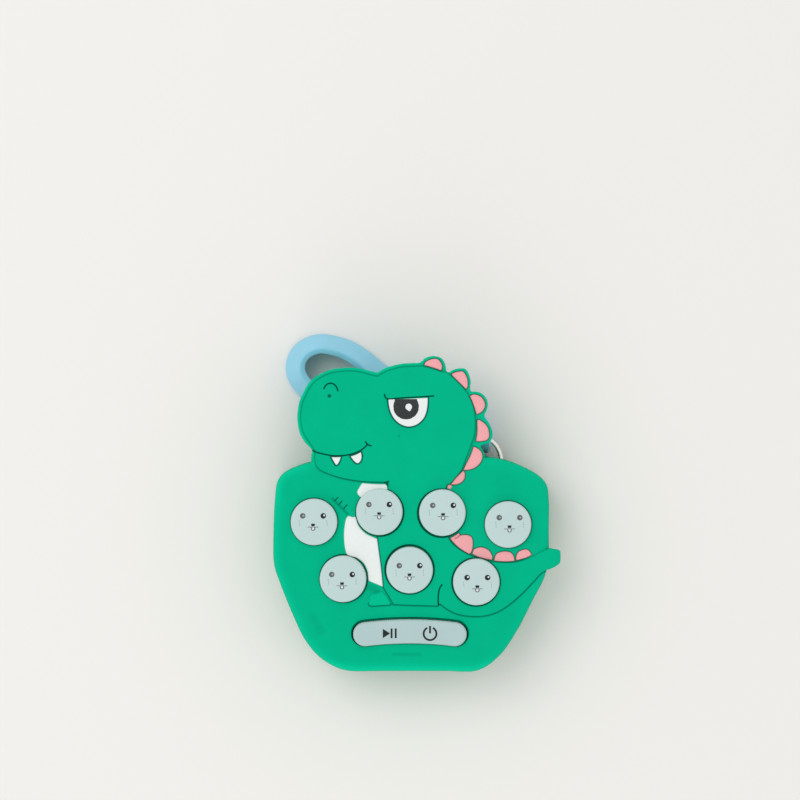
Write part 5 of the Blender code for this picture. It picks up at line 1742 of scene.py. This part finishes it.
@dataclass
class Strap:
    """The soft strap and the rivet that pinches it, in millimetres."""

    hinge: tuple[float, float, float] = (15.8103, 25.0780, 3.65)
    heading: float = 82.0
    length: float = 48.0
    width: float = 8.0
    neck: float = 5.2
    widening: Ramp = Ramp(0.05, 0.12)
    thickness: float = 1.8
    corner: float = 0.55
    eye: float = 1.85
    parts: int = 10
    turn_parts: int = 22
    rivet_radius: float = 2.6
    rivet_edge: float = 0.25
    rivet_dome: float = 0.55
    shank_radius: float = 1.2

    def axes(self) -> tuple[Vector, Vector]:
        """The level directions across the strap's eye and along the strap."""
        turn = math.radians(self.heading - 90)
        return Vector((math.cos(turn), math.sin(turn), 0.0)), Vector((-math.sin(turn), math.cos(turn), 0.0))

    def stations(self) -> Array:
        """The route, finely cut.

        Returns:
            Rows of x, y, lift, lean in radians and width.
        """
        across, along = (np.array(axis)[:2] for axis in self.axes())
        lift = self.eye * 2 + self.thickness
        given = []
        for x, y, degrees, raised in STRAP_ROUTE:
            place = np.array(self.hinge[:2]) + self.length * (x * across + y * along)
            given.append((*place, raised * lift, math.radians(degrees), math.hypot(x, y)))
        table = np.asarray([given[0], *given, given[-1]])
        found = [between(*table[i:i + 4], parts=self.parts) for i in range(len(given) - 1)]
        route = np.vstack([*found, table[-1]])
        route[:, 4] = self.neck + (self.width - self.neck) * self.widening.at(route[:, 4])
        return route

    def section(self, middle: Vector, wide: Vector, thick: Vector, width: float) -> list[Vector]:
        """The band's section: a flat strip with soft corners.

        Args:
            middle: Its middle.
            wide: The direction of its width.
            thick: The direction of its thickness.
            width: Its width.

        Returns:
            Its corners in order.
        """
        half, deep, soft = width / 2, self.thickness / 2, self.corner
        corner = arc((half - soft, deep - soft), (soft, soft), 0, 90, 6)
        flat = [(half * share, deep) for share in (0.68, 0.4, 0.0, -0.4, -0.68)]
        upper = [*corner, *flat, *[(-a, b) for a, b in corner[::-1]]]
        lower = [(-a, -b) for a, b in upper]
        return [middle + wide * a + thick * b for a, b in (*upper, *lower)]

    def band(self) -> None:
        """The closed band, swept round its route and round the ring's wire."""
        route = self.stations()
        rise = Vector((0.0, 0.0, 1.0))
        loops = []
        for i, (x, y, lift, lean, width) in enumerate(route):
            run = route[min(i + 1, len(route) - 1)][:2] - route[max(i - 1, 0)][:2]
            forward = Vector(run).normalized()
            out = Vector((forward.y, -forward.x, 0.0))
            wide = rise * math.cos(lean) - out * math.sin(lean)
            thick = out * math.cos(lean) + rise * math.sin(lean)
            high = max(lift, 0.0) + (width * abs(wide.z) + self.thickness * abs(thick.z)) / 2
            loops.append(self.section(Vector((x, y, high)), wide, thick, width))
        across, along = self.axes()
        for step in range(1, self.turn_parts):
            angle = math.pi * step / self.turn_parts
            thick = -along * math.sin(angle) - rise * math.cos(angle)
            middle = Vector(self.hinge) + thick * (self.eye + self.thickness / 2)
            loops.append(self.section(middle, -across, thick, self.neck))
        work = bmesh.new()
        rings = [[work.verts.new(spot * MM) for spot in loop] for loop in loops]
        for first, second in zip(rings, rings[1:] + rings[:1]):
            for i in range(len(first)):
                work.faces.new((first[i - 1], first[i], second[i], second[i - 1]))
        piece = placed("strap_band", closed_mesh("strap_band", work), 50)
        dress(piece, BLUE_STRAP, "strap", "strap")

    def rivet(self) -> None:
        """The rivet, with domed heads, its shank inside the strap."""
        seat = Seat.of("strap_rivet")
        radius, head = self.rivet_radius, self.rivet_edge + self.rivet_dome
        dome = arc((0.0, self.rivet_edge), (radius, self.rivet_dome), 0, 90, 9)
        low, high = seat.low + head, seat.high - head
        profile = [*[(r, low - z) for r, z in dome[::-1]], (radius, low), (self.shank_radius, low),
                   (self.shank_radius, high), (radius, high), *[(r, high + z) for r, z in dome]]
        piece = lathe("strap_rivet_turned", profile, seat.centre, 64)
        dress(piece, NICKEL, "strap", "strap_rivet")

    def build(self) -> None:
        """The band and its rivet."""
        self.band()
        self.rivet()


# Hard shells, door and screws

BOSSES = ((-25.36, 13.77), (25.23, 13.18), (-23.85, -9.78), (23.09, -10.47))
BAY_CENTRE = (0.0, -14.91)
BAY_HALF = (18.0, 6.1)
DOOR_HALF = (18.9, 7.0)
EAR_CENTRE = (0.0, -6.61)
EAR_RADIUS = 2.6
SPEAKER_CENTRE = (-6.0, 10.18)
LUG_AXIS = (15.024, 13.833, 3.65)


@dataclass
class RearShell:
    """The hard rear shell: wall and floor, cell bay, alcove with its lug, bosses and speaker grille."""

    depth: float = 9.0
    plate: float = 1.6
    wall: float = 1.5
    rounding: float = 1.0
    opening_rounding: float = 0.25
    gap: float = 0.2
    bay_rim: float = 1.3
    bay_roof: float = 7.8
    pillar_wall: float = 1.1
    pillar_top: float = 6.3
    pillar_seat: float = 5.4
    bore_radius: float = 1.8
    alcove_low: Pair = (7.87, 12.33)
    alcove_high: Pair = (22.17, 24.0)
    alcove_wall: float = 1.1
    alcove_room: float = 6.1
    alcove_rounding: float = 0.4
    post_radius: float = 2.4
    sink_radius: float = 1.8
    sink_depth: float = 4.2
    fence_radii: Pair = (7.4, 8.3)
    fence_top: float = 3.2
    sound_radius: float = 0.7
    sound_spread: float = 3.4
    sound_rounding: float = 0.2
    lug_radius: float = 2.7
    lug_hole: float = 1.4
    lug_half: float = 1.1
    lug_rounding: float = 0.3

    def build(self) -> None:
        """The shell's moulding, with the lug joined to it."""
        outline = shield_outline(0.45)
        inner = shifted(outline, self.wall)
        bay_wall = around(BAY_CENTRE, DOOR_HALF, self.bay_rim)
        cells = around(BAY_CENTRE, BAY_HALF)
        recess = around(BAY_CENTRE, DOOR_HALF, self.gap)
        ear = circle(EAR_CENTRE, EAR_RADIUS + self.gap, 48)
        pillar = circle(EAR_CENTRE, EAR_RADIUS + self.pillar_wall, 48)
        bore = circle(EAR_CENTRE, self.bore_radius, 32)
        (left, front), (right, back_wall) = self.alcove_low, self.alcove_high
        alcove = rectangle((left, front), (right, back_wall))
        alcove_wall = rectangle((left - self.alcove_wall, front - self.alcove_wall),
                                (right + self.alcove_wall, back_wall))
        posts = [circle(place, self.post_radius, 40) for place in BOSSES]
        sinks = [circle(place, self.sink_radius, 32) for place in BOSSES]
        fence_in, fence_out = (circle(SPEAKER_CENTRE, radius, 72) for radius in self.fence_radii)
        holes = self.sound_holes()
        seams = [inner, bay_wall, cells, recess, ear, pillar, bore, *posts, *sinks, fence_in,
                 fence_out, alcove, alcove_wall]
        rims = [Edge(outline, self.rounding), *[Edge(hole, self.sound_rounding) for hole in holes]]
        outside = [*[Edge(loop, self.opening_rounding) for loop in (*sinks, ear, recess)],
                   Edge(alcove, self.alcove_rounding)]
        plan = Plan([outline], holes, seams, rims, (), 2.2, outside)
        at, points = plan.middles, plan.points
        back = plan.drop(rims)
        for edge in outside:
            back = np.maximum(back, edge.drop_outside(points))
        top, roof = self.depth, self.alcove_room + self.alcove_wall
        zones = (
            (inside(at, fence_out) & ~inside(at, fence_in), back, self.fence_top),
            (inside(at, alcove_wall), back, roof),
            (in_any(at, posts), back, top),
            (in_any(at, sinks), self.sink_depth, top),
            (inside(at, pillar), back, self.pillar_top),
            (inside(at, bay_wall), back, top),
            (in_any(at, (ear, recess)), self.plate, top),
            (inside(at, bore), self.pillar_seat, self.pillar_top),
            (inside(at, cells), self.bay_roof, top),
            (inside(at, alcove), self.alcove_room, roof),
            (~inside(at, inner), back, top),
            (~inside(at, inner) & inside(at, alcove), self.alcove_room, top),
        )
        kinds = np.zeros(len(at), int)
        for number, (zone, _, _) in enumerate(zones, 1):
            kinds[zone] = number
        layers = [Layer(back, self.plate), *[Layer(low, high) for _, low, high in zones]]
        shell = layered("rear_shell_moulding", plan, layers, kinds)
        profile = softened([(self.lug_hole, -self.lug_half), (self.lug_radius, -self.lug_half),
                            (self.lug_radius, self.lug_half), (self.lug_hole, self.lug_half)],
                           self.lug_rounding)
        lug = tube_across("lug", profile, LUG_AXIS)
        dress(join("rear_shell_moulding", [shell, lug]), GREEN_SHELL, "case", "rear_shell")

    def sound_holes(self) -> list[Array]:
        """The speaker's holes: one in the middle and six round it."""
        places = [SPEAKER_CENTRE, *circle(SPEAKER_CENTRE, self.sound_spread, 6)]
        return [circle(place, self.sound_radius, 28) for place in places]


@dataclass
class Door:
    """The battery door with its hinge pins, and ribs for a thumb."""

    thickness: float = 1.4
    corner: float = 0.3
    pin_radius: float = 0.35
    pin_reach: float = 0.9
    pin_corner: float = 0.12
    sink_radius: float = 1.6
    sink_depth: float = 0.9
    sink_rounding: float = 0.2
    shank_radius: float = 1.0
    rib_count: int = 7
    rib_spacing: float = 1.1
    rib_length: float = 9.0
    rib_radius: float = 0.38
    rib_middle: tuple[float, float, float] = (0.0, -13.2, 0.3)
    rib_back: float = 0.03
    grip_half: Pair = (5.0, 4.2)
    grip_depth: float = 0.45
    grip_rounding: float = 0.25

    def build(self) -> None:
        """The door and its ribs."""
        edge = self.thickness / 2
        panel = around(BAY_CENTRE, DOOR_HALF, 0.0, 0.8)
        ear = circle(EAR_CENTRE, EAR_RADIUS, 56)
        sink = circle(EAR_CENTRE, self.sink_radius, 40)
        shank = circle(EAR_CENTRE, self.shank_radius, 28)
        grip = around(self.rib_middle[:2], self.grip_half, 0.0, 0.8)
        rims = [Edge(panel, self.corner, (ear,)), Edge(ear, self.corner, (panel,))]
        outside = [Edge(sink, self.sink_rounding), Edge(grip, self.grip_rounding)]
        plan = Plan([panel, ear], [shank], [sink, grip], rims, (), 1.6, outside)
        hinge = BAY_CENTRE[1] - DOOR_HALF[1] + edge
        beyond = np.clip((hinge - plan.points[:, 1]) / edge, 0.0, 1.0)
        bend = np.minimum(edge * (1 - np.sqrt(1 - beyond**2)), edge * 0.98)
        back = np.maximum(plan.drop(rims), bend)
        for rim in outside:
            back = np.maximum(back, rim.drop_outside(plan.points))
        layers = [Layer(back, self.thickness - bend), Layer(self.sink_depth, self.thickness),
                  Layer(self.grip_depth, self.thickness)]
        kinds = np.where(inside(plan.middles, sink), 1, np.where(inside(plan.middles, grip), 2, 0))
        door = layered("battery_door_panel", plan, layers, kinds)
        reach, radius, soft = DOOR_HALF[0] + self.pin_reach, self.pin_radius, self.pin_corner
        tip = [(radius, reach - soft), (radius - soft, reach), (0.0, reach)]
        profile = [*[(r, -x) for r, x in tip[::-1]], *tip]
        pins = tube_across("pins", profile, (0.0, hinge, edge), 24)
        dress(join("battery_door_panel", [door, pins]), GREEN_SHELL, "battery_door", "battery_door")
        self.ribs()

    def ribs(self) -> None:
        """The row of ribs that stands in the thumb's hollow, level with the door's back."""
        tree = Shape("door_ribs")
        spacing = tree.size("Spacing", self.rib_spacing * MM)
        length = tree.size("Length", self.rib_length * MM)
        radius = tree.size("Radius", self.rib_radius * MM)
        middle = tree.size("Middle", [v * MM for v in self.rib_middle], "NodeSocketVector")
        step = tree.out("ShaderNodeCombineXYZ", {1: spacing})
        before = tree.vector("SCALE", {0: step, "Scale": (self.rib_count - 1) / 2})
        row = tree.out("GeometryNodeMeshLine", {
            "Count": self.rib_count, "Offset": step,
            "Start Location": tree.vector("SUBTRACT", {0: middle, 1: before})})
        rod = tree.out("GeometryNodeCurvePrimitiveLine",
                       {"Length": length, "Direction": (1.0, 0.0, 0.0)}, mode="DIRECTION")
        finer = tree.out("GeometryNodeResampleCurve", {"Curve": rod, "Count": 3})
        section = tree.out("GeometryNodeCurvePrimitiveCircle", {"Resolution": 16, "Radius": radius})
        whole = tree.out("ShaderNodeCombineXYZ", {0: length})
        centred = tree.out("GeometryNodeTransform", {
            "Geometry": tree.sweep(finer, section),
            "Translation": tree.vector("SCALE", {0: whole, "Scale": -0.5})})
        piece = tree.build(tree.scatter(row, centred), "battery_door_ribs", GREEN_SHELL)
        for vertex in piece.data.vertices:
            vertex.co.z = max(vertex.co.z, self.rib_back * MM)
        dress(piece, GREEN_SHELL, "battery_door")


@dataclass(frozen=True)
class Screw:
    """A screw that points up from its head at the origin, threaded, with a cross cut in its head."""

    head: float
    height: float
    shank: float
    length: float
    slot: float = 0.42
    pitch: float = 0.5
    thread: float = 0.18

    def make(self, name: str) -> Piece:
        """The screw.

        Args:
            name: The object's name.

        Returns:
            The object, not dressed yet.
        """
        core = self.shank - self.thread
        dome = arc((0.0, 0.45 * self.height), (self.head, -0.45 * self.height), 90, 0, 8)
        thread = []
        level = self.height + 0.2
        while level < self.length - 0.9:
            thread += [(core, level), (self.shank, level + self.pitch * 0.4),
                       (self.shank, level + self.pitch * 0.55), (core, level + self.pitch * 0.95)]
            level += self.pitch
        profile = [*dome, (self.head, self.height), (core, self.height), *thread,
                   (core, self.length - 0.6), (0.25, self.length), (0.0, self.length)]
        piece = lathe(name, profile, (0.0, 0.0), 48)
        work = bmesh.new()
        size = Matrix.Diagonal((self.head * 1.3 * MM, self.slot * MM, self.height * 1.1 * MM, 1.0))
        for turn in (0.0, math.pi / 2):
            bmesh.ops.create_cube(work, size=1.0, matrix=Matrix.Rotation(turn, 4, "Z") @ size)
        cutter = linked("drive", closed_mesh("drive", work))
        cut = piece.modifiers.new("drive", "BOOLEAN")
        cut.object = cutter
        cut.operation = "DIFFERENCE"
        cut.solver = "EXACT"
        cut.use_self = True
        mesh = settled(piece, name)
        bpy.data.objects.remove(cutter)
        return placed(name, mesh, 30)


@dataclass
class Screws:
    """The four case screws and the door's captive screw."""

    case: Screw = Screw(1.6, 1.2, 0.9, 9.2)
    door: Screw = Screw(1.4, 0.7, 0.8, 5.0)
    sink: float = 2.8
    turn: float = 0.9

    def build(self) -> None:
        """The case screws set out by one node tree, and the door screw."""
        one = self.case.make("case_screw")
        spots = bpy.data.meshes.new("screw_places")
        spots.from_pydata([(x * MM, y * MM, self.sink * MM) for x, y in BOSSES], [], [])
        tree = Shape("screw_layout")
        item = tree.size("Screw", one, "NodeSocketObject")
        turn = tree.size("Turn", self.turn)
        screw = tree.node("GeometryNodeObjectInfo", {"Object": item}).outputs["Geometry"]
        index = tree.out("GeometryNodeInputIndex")
        spin = tree.out("ShaderNodeCombineXYZ", {2: tree.sum("MULTIPLY", index, turn)})
        turned = tree.out("FunctionNodeEulerToRotation", {0: spin})
        laid = tree.scatter(tree.source.outputs[0], screw, turned)
        piece = tree.build(laid, "case_screws", STEEL, spots, 30)
        bpy.data.objects.remove(one)
        dress(piece, STEEL, "case", *[f"case_screw_{i}" for i in range(1, 5)])
        door = self.door.make("door_screw_turned")
        door.data.transform(Matrix.Translation((EAR_CENTRE[0] * MM, EAR_CENTRE[1] * MM, 0.0)))
        dress(door, STEEL, "door_screw", "door_screw")


# Electronics


@dataclass
class Electronics:
    """The cells, contacts and what the circuit board carries."""

    cell_radius: float = 5.8
    cell_bottom: float = 2.0
    cell_height: float = 5.4
    contact_play: float = 0.02
    pad_width: float = 1.65
    press: float = 0.9
    press_play: float = 0.01

    def cells(self) -> None:
        """The three coin cells, each a can crimped round its smaller cap."""
        low, high = self.cell_bottom, self.cell_bottom + self.cell_height
        r = self.cell_radius
        profile = [(0.0, low + 0.06), (r - 1.4, low + 0.06), (r - 1.2, low), (r - 0.35, low),
                   (r, low + 0.35), (r, high - 1.05), (r - 0.12, high - 0.85),
                   (r - 0.75, high - 0.62), (r - 0.82, high - 0.68), (r - 0.9, high - 0.62),
                   (r - 1.05, high - 0.15), (r - 1.25, high), (0.0, high)]
        for number in range(1, 4):
            node = f"coin_cell_{number}"
            piece = lathe(f"cell_can_{number}", profile, Seat.of(node).centre, 72)
            dress(piece, NICKEL, "case", node)

    def contact(self) -> None:
        """The door's contact plate."""
        a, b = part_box("door_contact")
        plan = Plan([rectangle((a.x / MM, a.y / MM), (b.x / MM, b.y / MM), 0.5)], spacing=0.5)
        piece = layered("door_contact_plate", plan, [Layer(a.z / MM, b.z / MM - self.contact_play)])
        dress(piece, NICKEL, "battery_door", "door_contact")

    def speaker(self) -> None:
        """The speaker with its rolled edge, cone and magnet."""
        seat = Seat.of("speaker")
        low, r = seat.low, seat.radius
        profile = [(0.0, low + 0.35), (1.6, low + 0.25), (2.2, low + 0.7), (r - 2.0, low + 0.45),
                   (r - 1.6, low + 0.2), (r - 1.1, low + 0.45), (r - 0.9, low + 0.1),
                   (r - 0.2, low), (r, low + 0.2), (r, low + 1.4), (r - 0.2, low + 1.6),
                   (r * 0.6, low + 1.6), (r * 0.6, seat.high), (0.0, seat.high)]
        dress(lathe("speaker_unit", profile, seat.centre, 72), SPEAKER, "case", "speaker")

    def spring_pads(self) -> None:
        """The silicone rings under the buttons, each with a mesh of its own; a real ring flattens as its
        button goes down.
        """
        for number in range(1, 8):
            seat = Seat.of(f"spring_pad_{number}")
            low, high, r = seat.low, seat.high, seat.radius
            profile = [(r - self.pad_width, low), (r, low), (r, low + 0.35), (r - 0.08, low + 0.45),
                       (r - 0.47, high - 0.25), (r - 0.62, high), (r - 1.5, high),
                       (r - self.pad_width, high - 0.15)]
            piece = lathe(f"spring_ring_{number}", profile, seat.centre, 72)
            dress(piece, SILICONE, "case", f"spring_pad_{number}")
            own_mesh(piece)

    def chip(self) -> None:
        """The chip's domed cover, which hangs from the board."""
        seat = Seat.of("chip_blob")
        dome = arc((0.0, seat.high), (seat.radius, seat.high - seat.low), -90, 0, 12)
        piece = lathe("chip_cover", [*dome, (0.0, seat.high)], seat.centre, 56)
        dress(piece, EPOXY, "case", "chip_blob")

    def hidden(self) -> None:
        """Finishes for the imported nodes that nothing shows, which keep their own meshes."""
        finishes = {"circuit_board": BOARD, "front_shell": GREEN_SHELL, "bar_pad_strip": SILICONE,
                    **{f"lamp_{i}": LAMP for i in range(1, 8)},
                    "roof_bridge_contact": NICKEL, "roof_end_contact": NICKEL}
        for name, finish in finishes.items():
            cover_with(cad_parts[name], finish)

    def build(self) -> None:
        """All of them."""
        self.cells()
        self.contact()
        self.speaker()
        self.spring_pads()
        self.chip()
        self.hidden()


# Studio


@dataclass
class Studio:
    """The pale floor, the soft lights and the camera."""

    image_middle: Pair = (-2.57, 33.4)
    distance: float = 1.0
    lens: float = 198.0
    sensor: float = 36.0
    level: float = 17.7
    floor_half: float = 3.0
    floor_colour: Colour = (236, 234, 230)
    sky_colour: Colour = (226, 224, 220)
    sky_light: float = 0.82

    def floor(self) -> None:
        """A wide pale floor under the toy."""
        half = self.floor_half
        mesh = bpy.data.meshes.new("floor")
        mesh.from_pydata([(-half, -half, 0.0), (half, -half, 0.0), (half, half, 0.0),
                          (-half, half, 0.0)], [], [(0, 1, 2, 3)])
        graph = Graph("floor_card")
        graph.paint(Base_Color=linear(self.floor_colour), Roughness=0.85)
        mesh.materials.append(graph.material)
        linked("floor", mesh)

    def lamp(self, name: str, place: Sequence[float], size: float, power: float) -> None:
        """A soft square lamp that looks at the toy.

        Args:
            name: The lamp's name.
            place: Where it stands, in metres.
            size: The length of its side.
            power: Its power in watts.
        """
        light = bpy.data.lights.new(name, "AREA")
        light.size = size
        light.energy = power
        lamp = linked(name, light)
        lamp.location = place
        aim = Vector((0, 0.01, 0.01)) - Vector(place)
        lamp.rotation_euler = aim.to_track_quat("-Z", "Y").to_euler()

    def sky(self) -> None:
        """Even white light all round, and a pale backdrop for the camera."""
        world = bpy.data.worlds.new("studio")
        bpy.context.scene.world = world
        world.use_nodes = True
        tree = Wiring(world.node_tree)
        lit = tree.out("ShaderNodeBackground", {"Color": (1.0, 1.0, 1.0, 1.0),
                                                "Strength": self.sky_light})
        seen = tree.out("ShaderNodeBackground", {"Color": linear(self.sky_colour), "Strength": 1.0})
        path = tree.node("ShaderNodeLightPath").outputs
        straight_on = tree.out("ShaderNodeMath", {0: path["Is Camera Ray"],
                                                  1: path["Is Transmission Ray"]}, operation="MAXIMUM")
        mix = tree.out("ShaderNodeMixShader", {0: straight_on, 1: lit, 2: seen})
        tree.node("ShaderNodeOutputWorld", {0: mix})

    def camera(self) -> None:
        """The camera straight above, as in the photograph."""
        data = bpy.data.cameras.new("camera")
        data.lens = self.lens
        data.sensor_width = self.sensor
        data.clip_start = 0.01
        camera = linked("camera", data)
        camera.location = (self.image_middle[0] * MM, self.image_middle[1] * MM,
                           self.distance + self.level * MM)
        bpy.context.scene.camera = camera

    def build(self) -> None:
        """The whole studio."""
        bpy.context.scene.view_settings.view_transform = "Standard"
        self.floor()
        self.sky()
        self.lamp("key_light", (-0.45, 0.35, 0.9), 0.7, 2.7)
        self.lamp("low_light", (-0.15, -0.8, 0.35), 0.5, 1.1)
        self.camera()


def main() -> None:
    """Builds the toy in order, then its studio."""
    logging.basicConfig(level=logging.INFO, format="%(name)s: %(message)s")
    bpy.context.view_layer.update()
    for part in (Cover(), Buttons(), FunctionBar(), SplitRing(), Strap(), RearShell(), Door(),
                 Screws(), Electronics(), Studio()):
        part.build()
        log.info("%s is built", type(part).__name__)


if __name__ == "__main__":
    main()
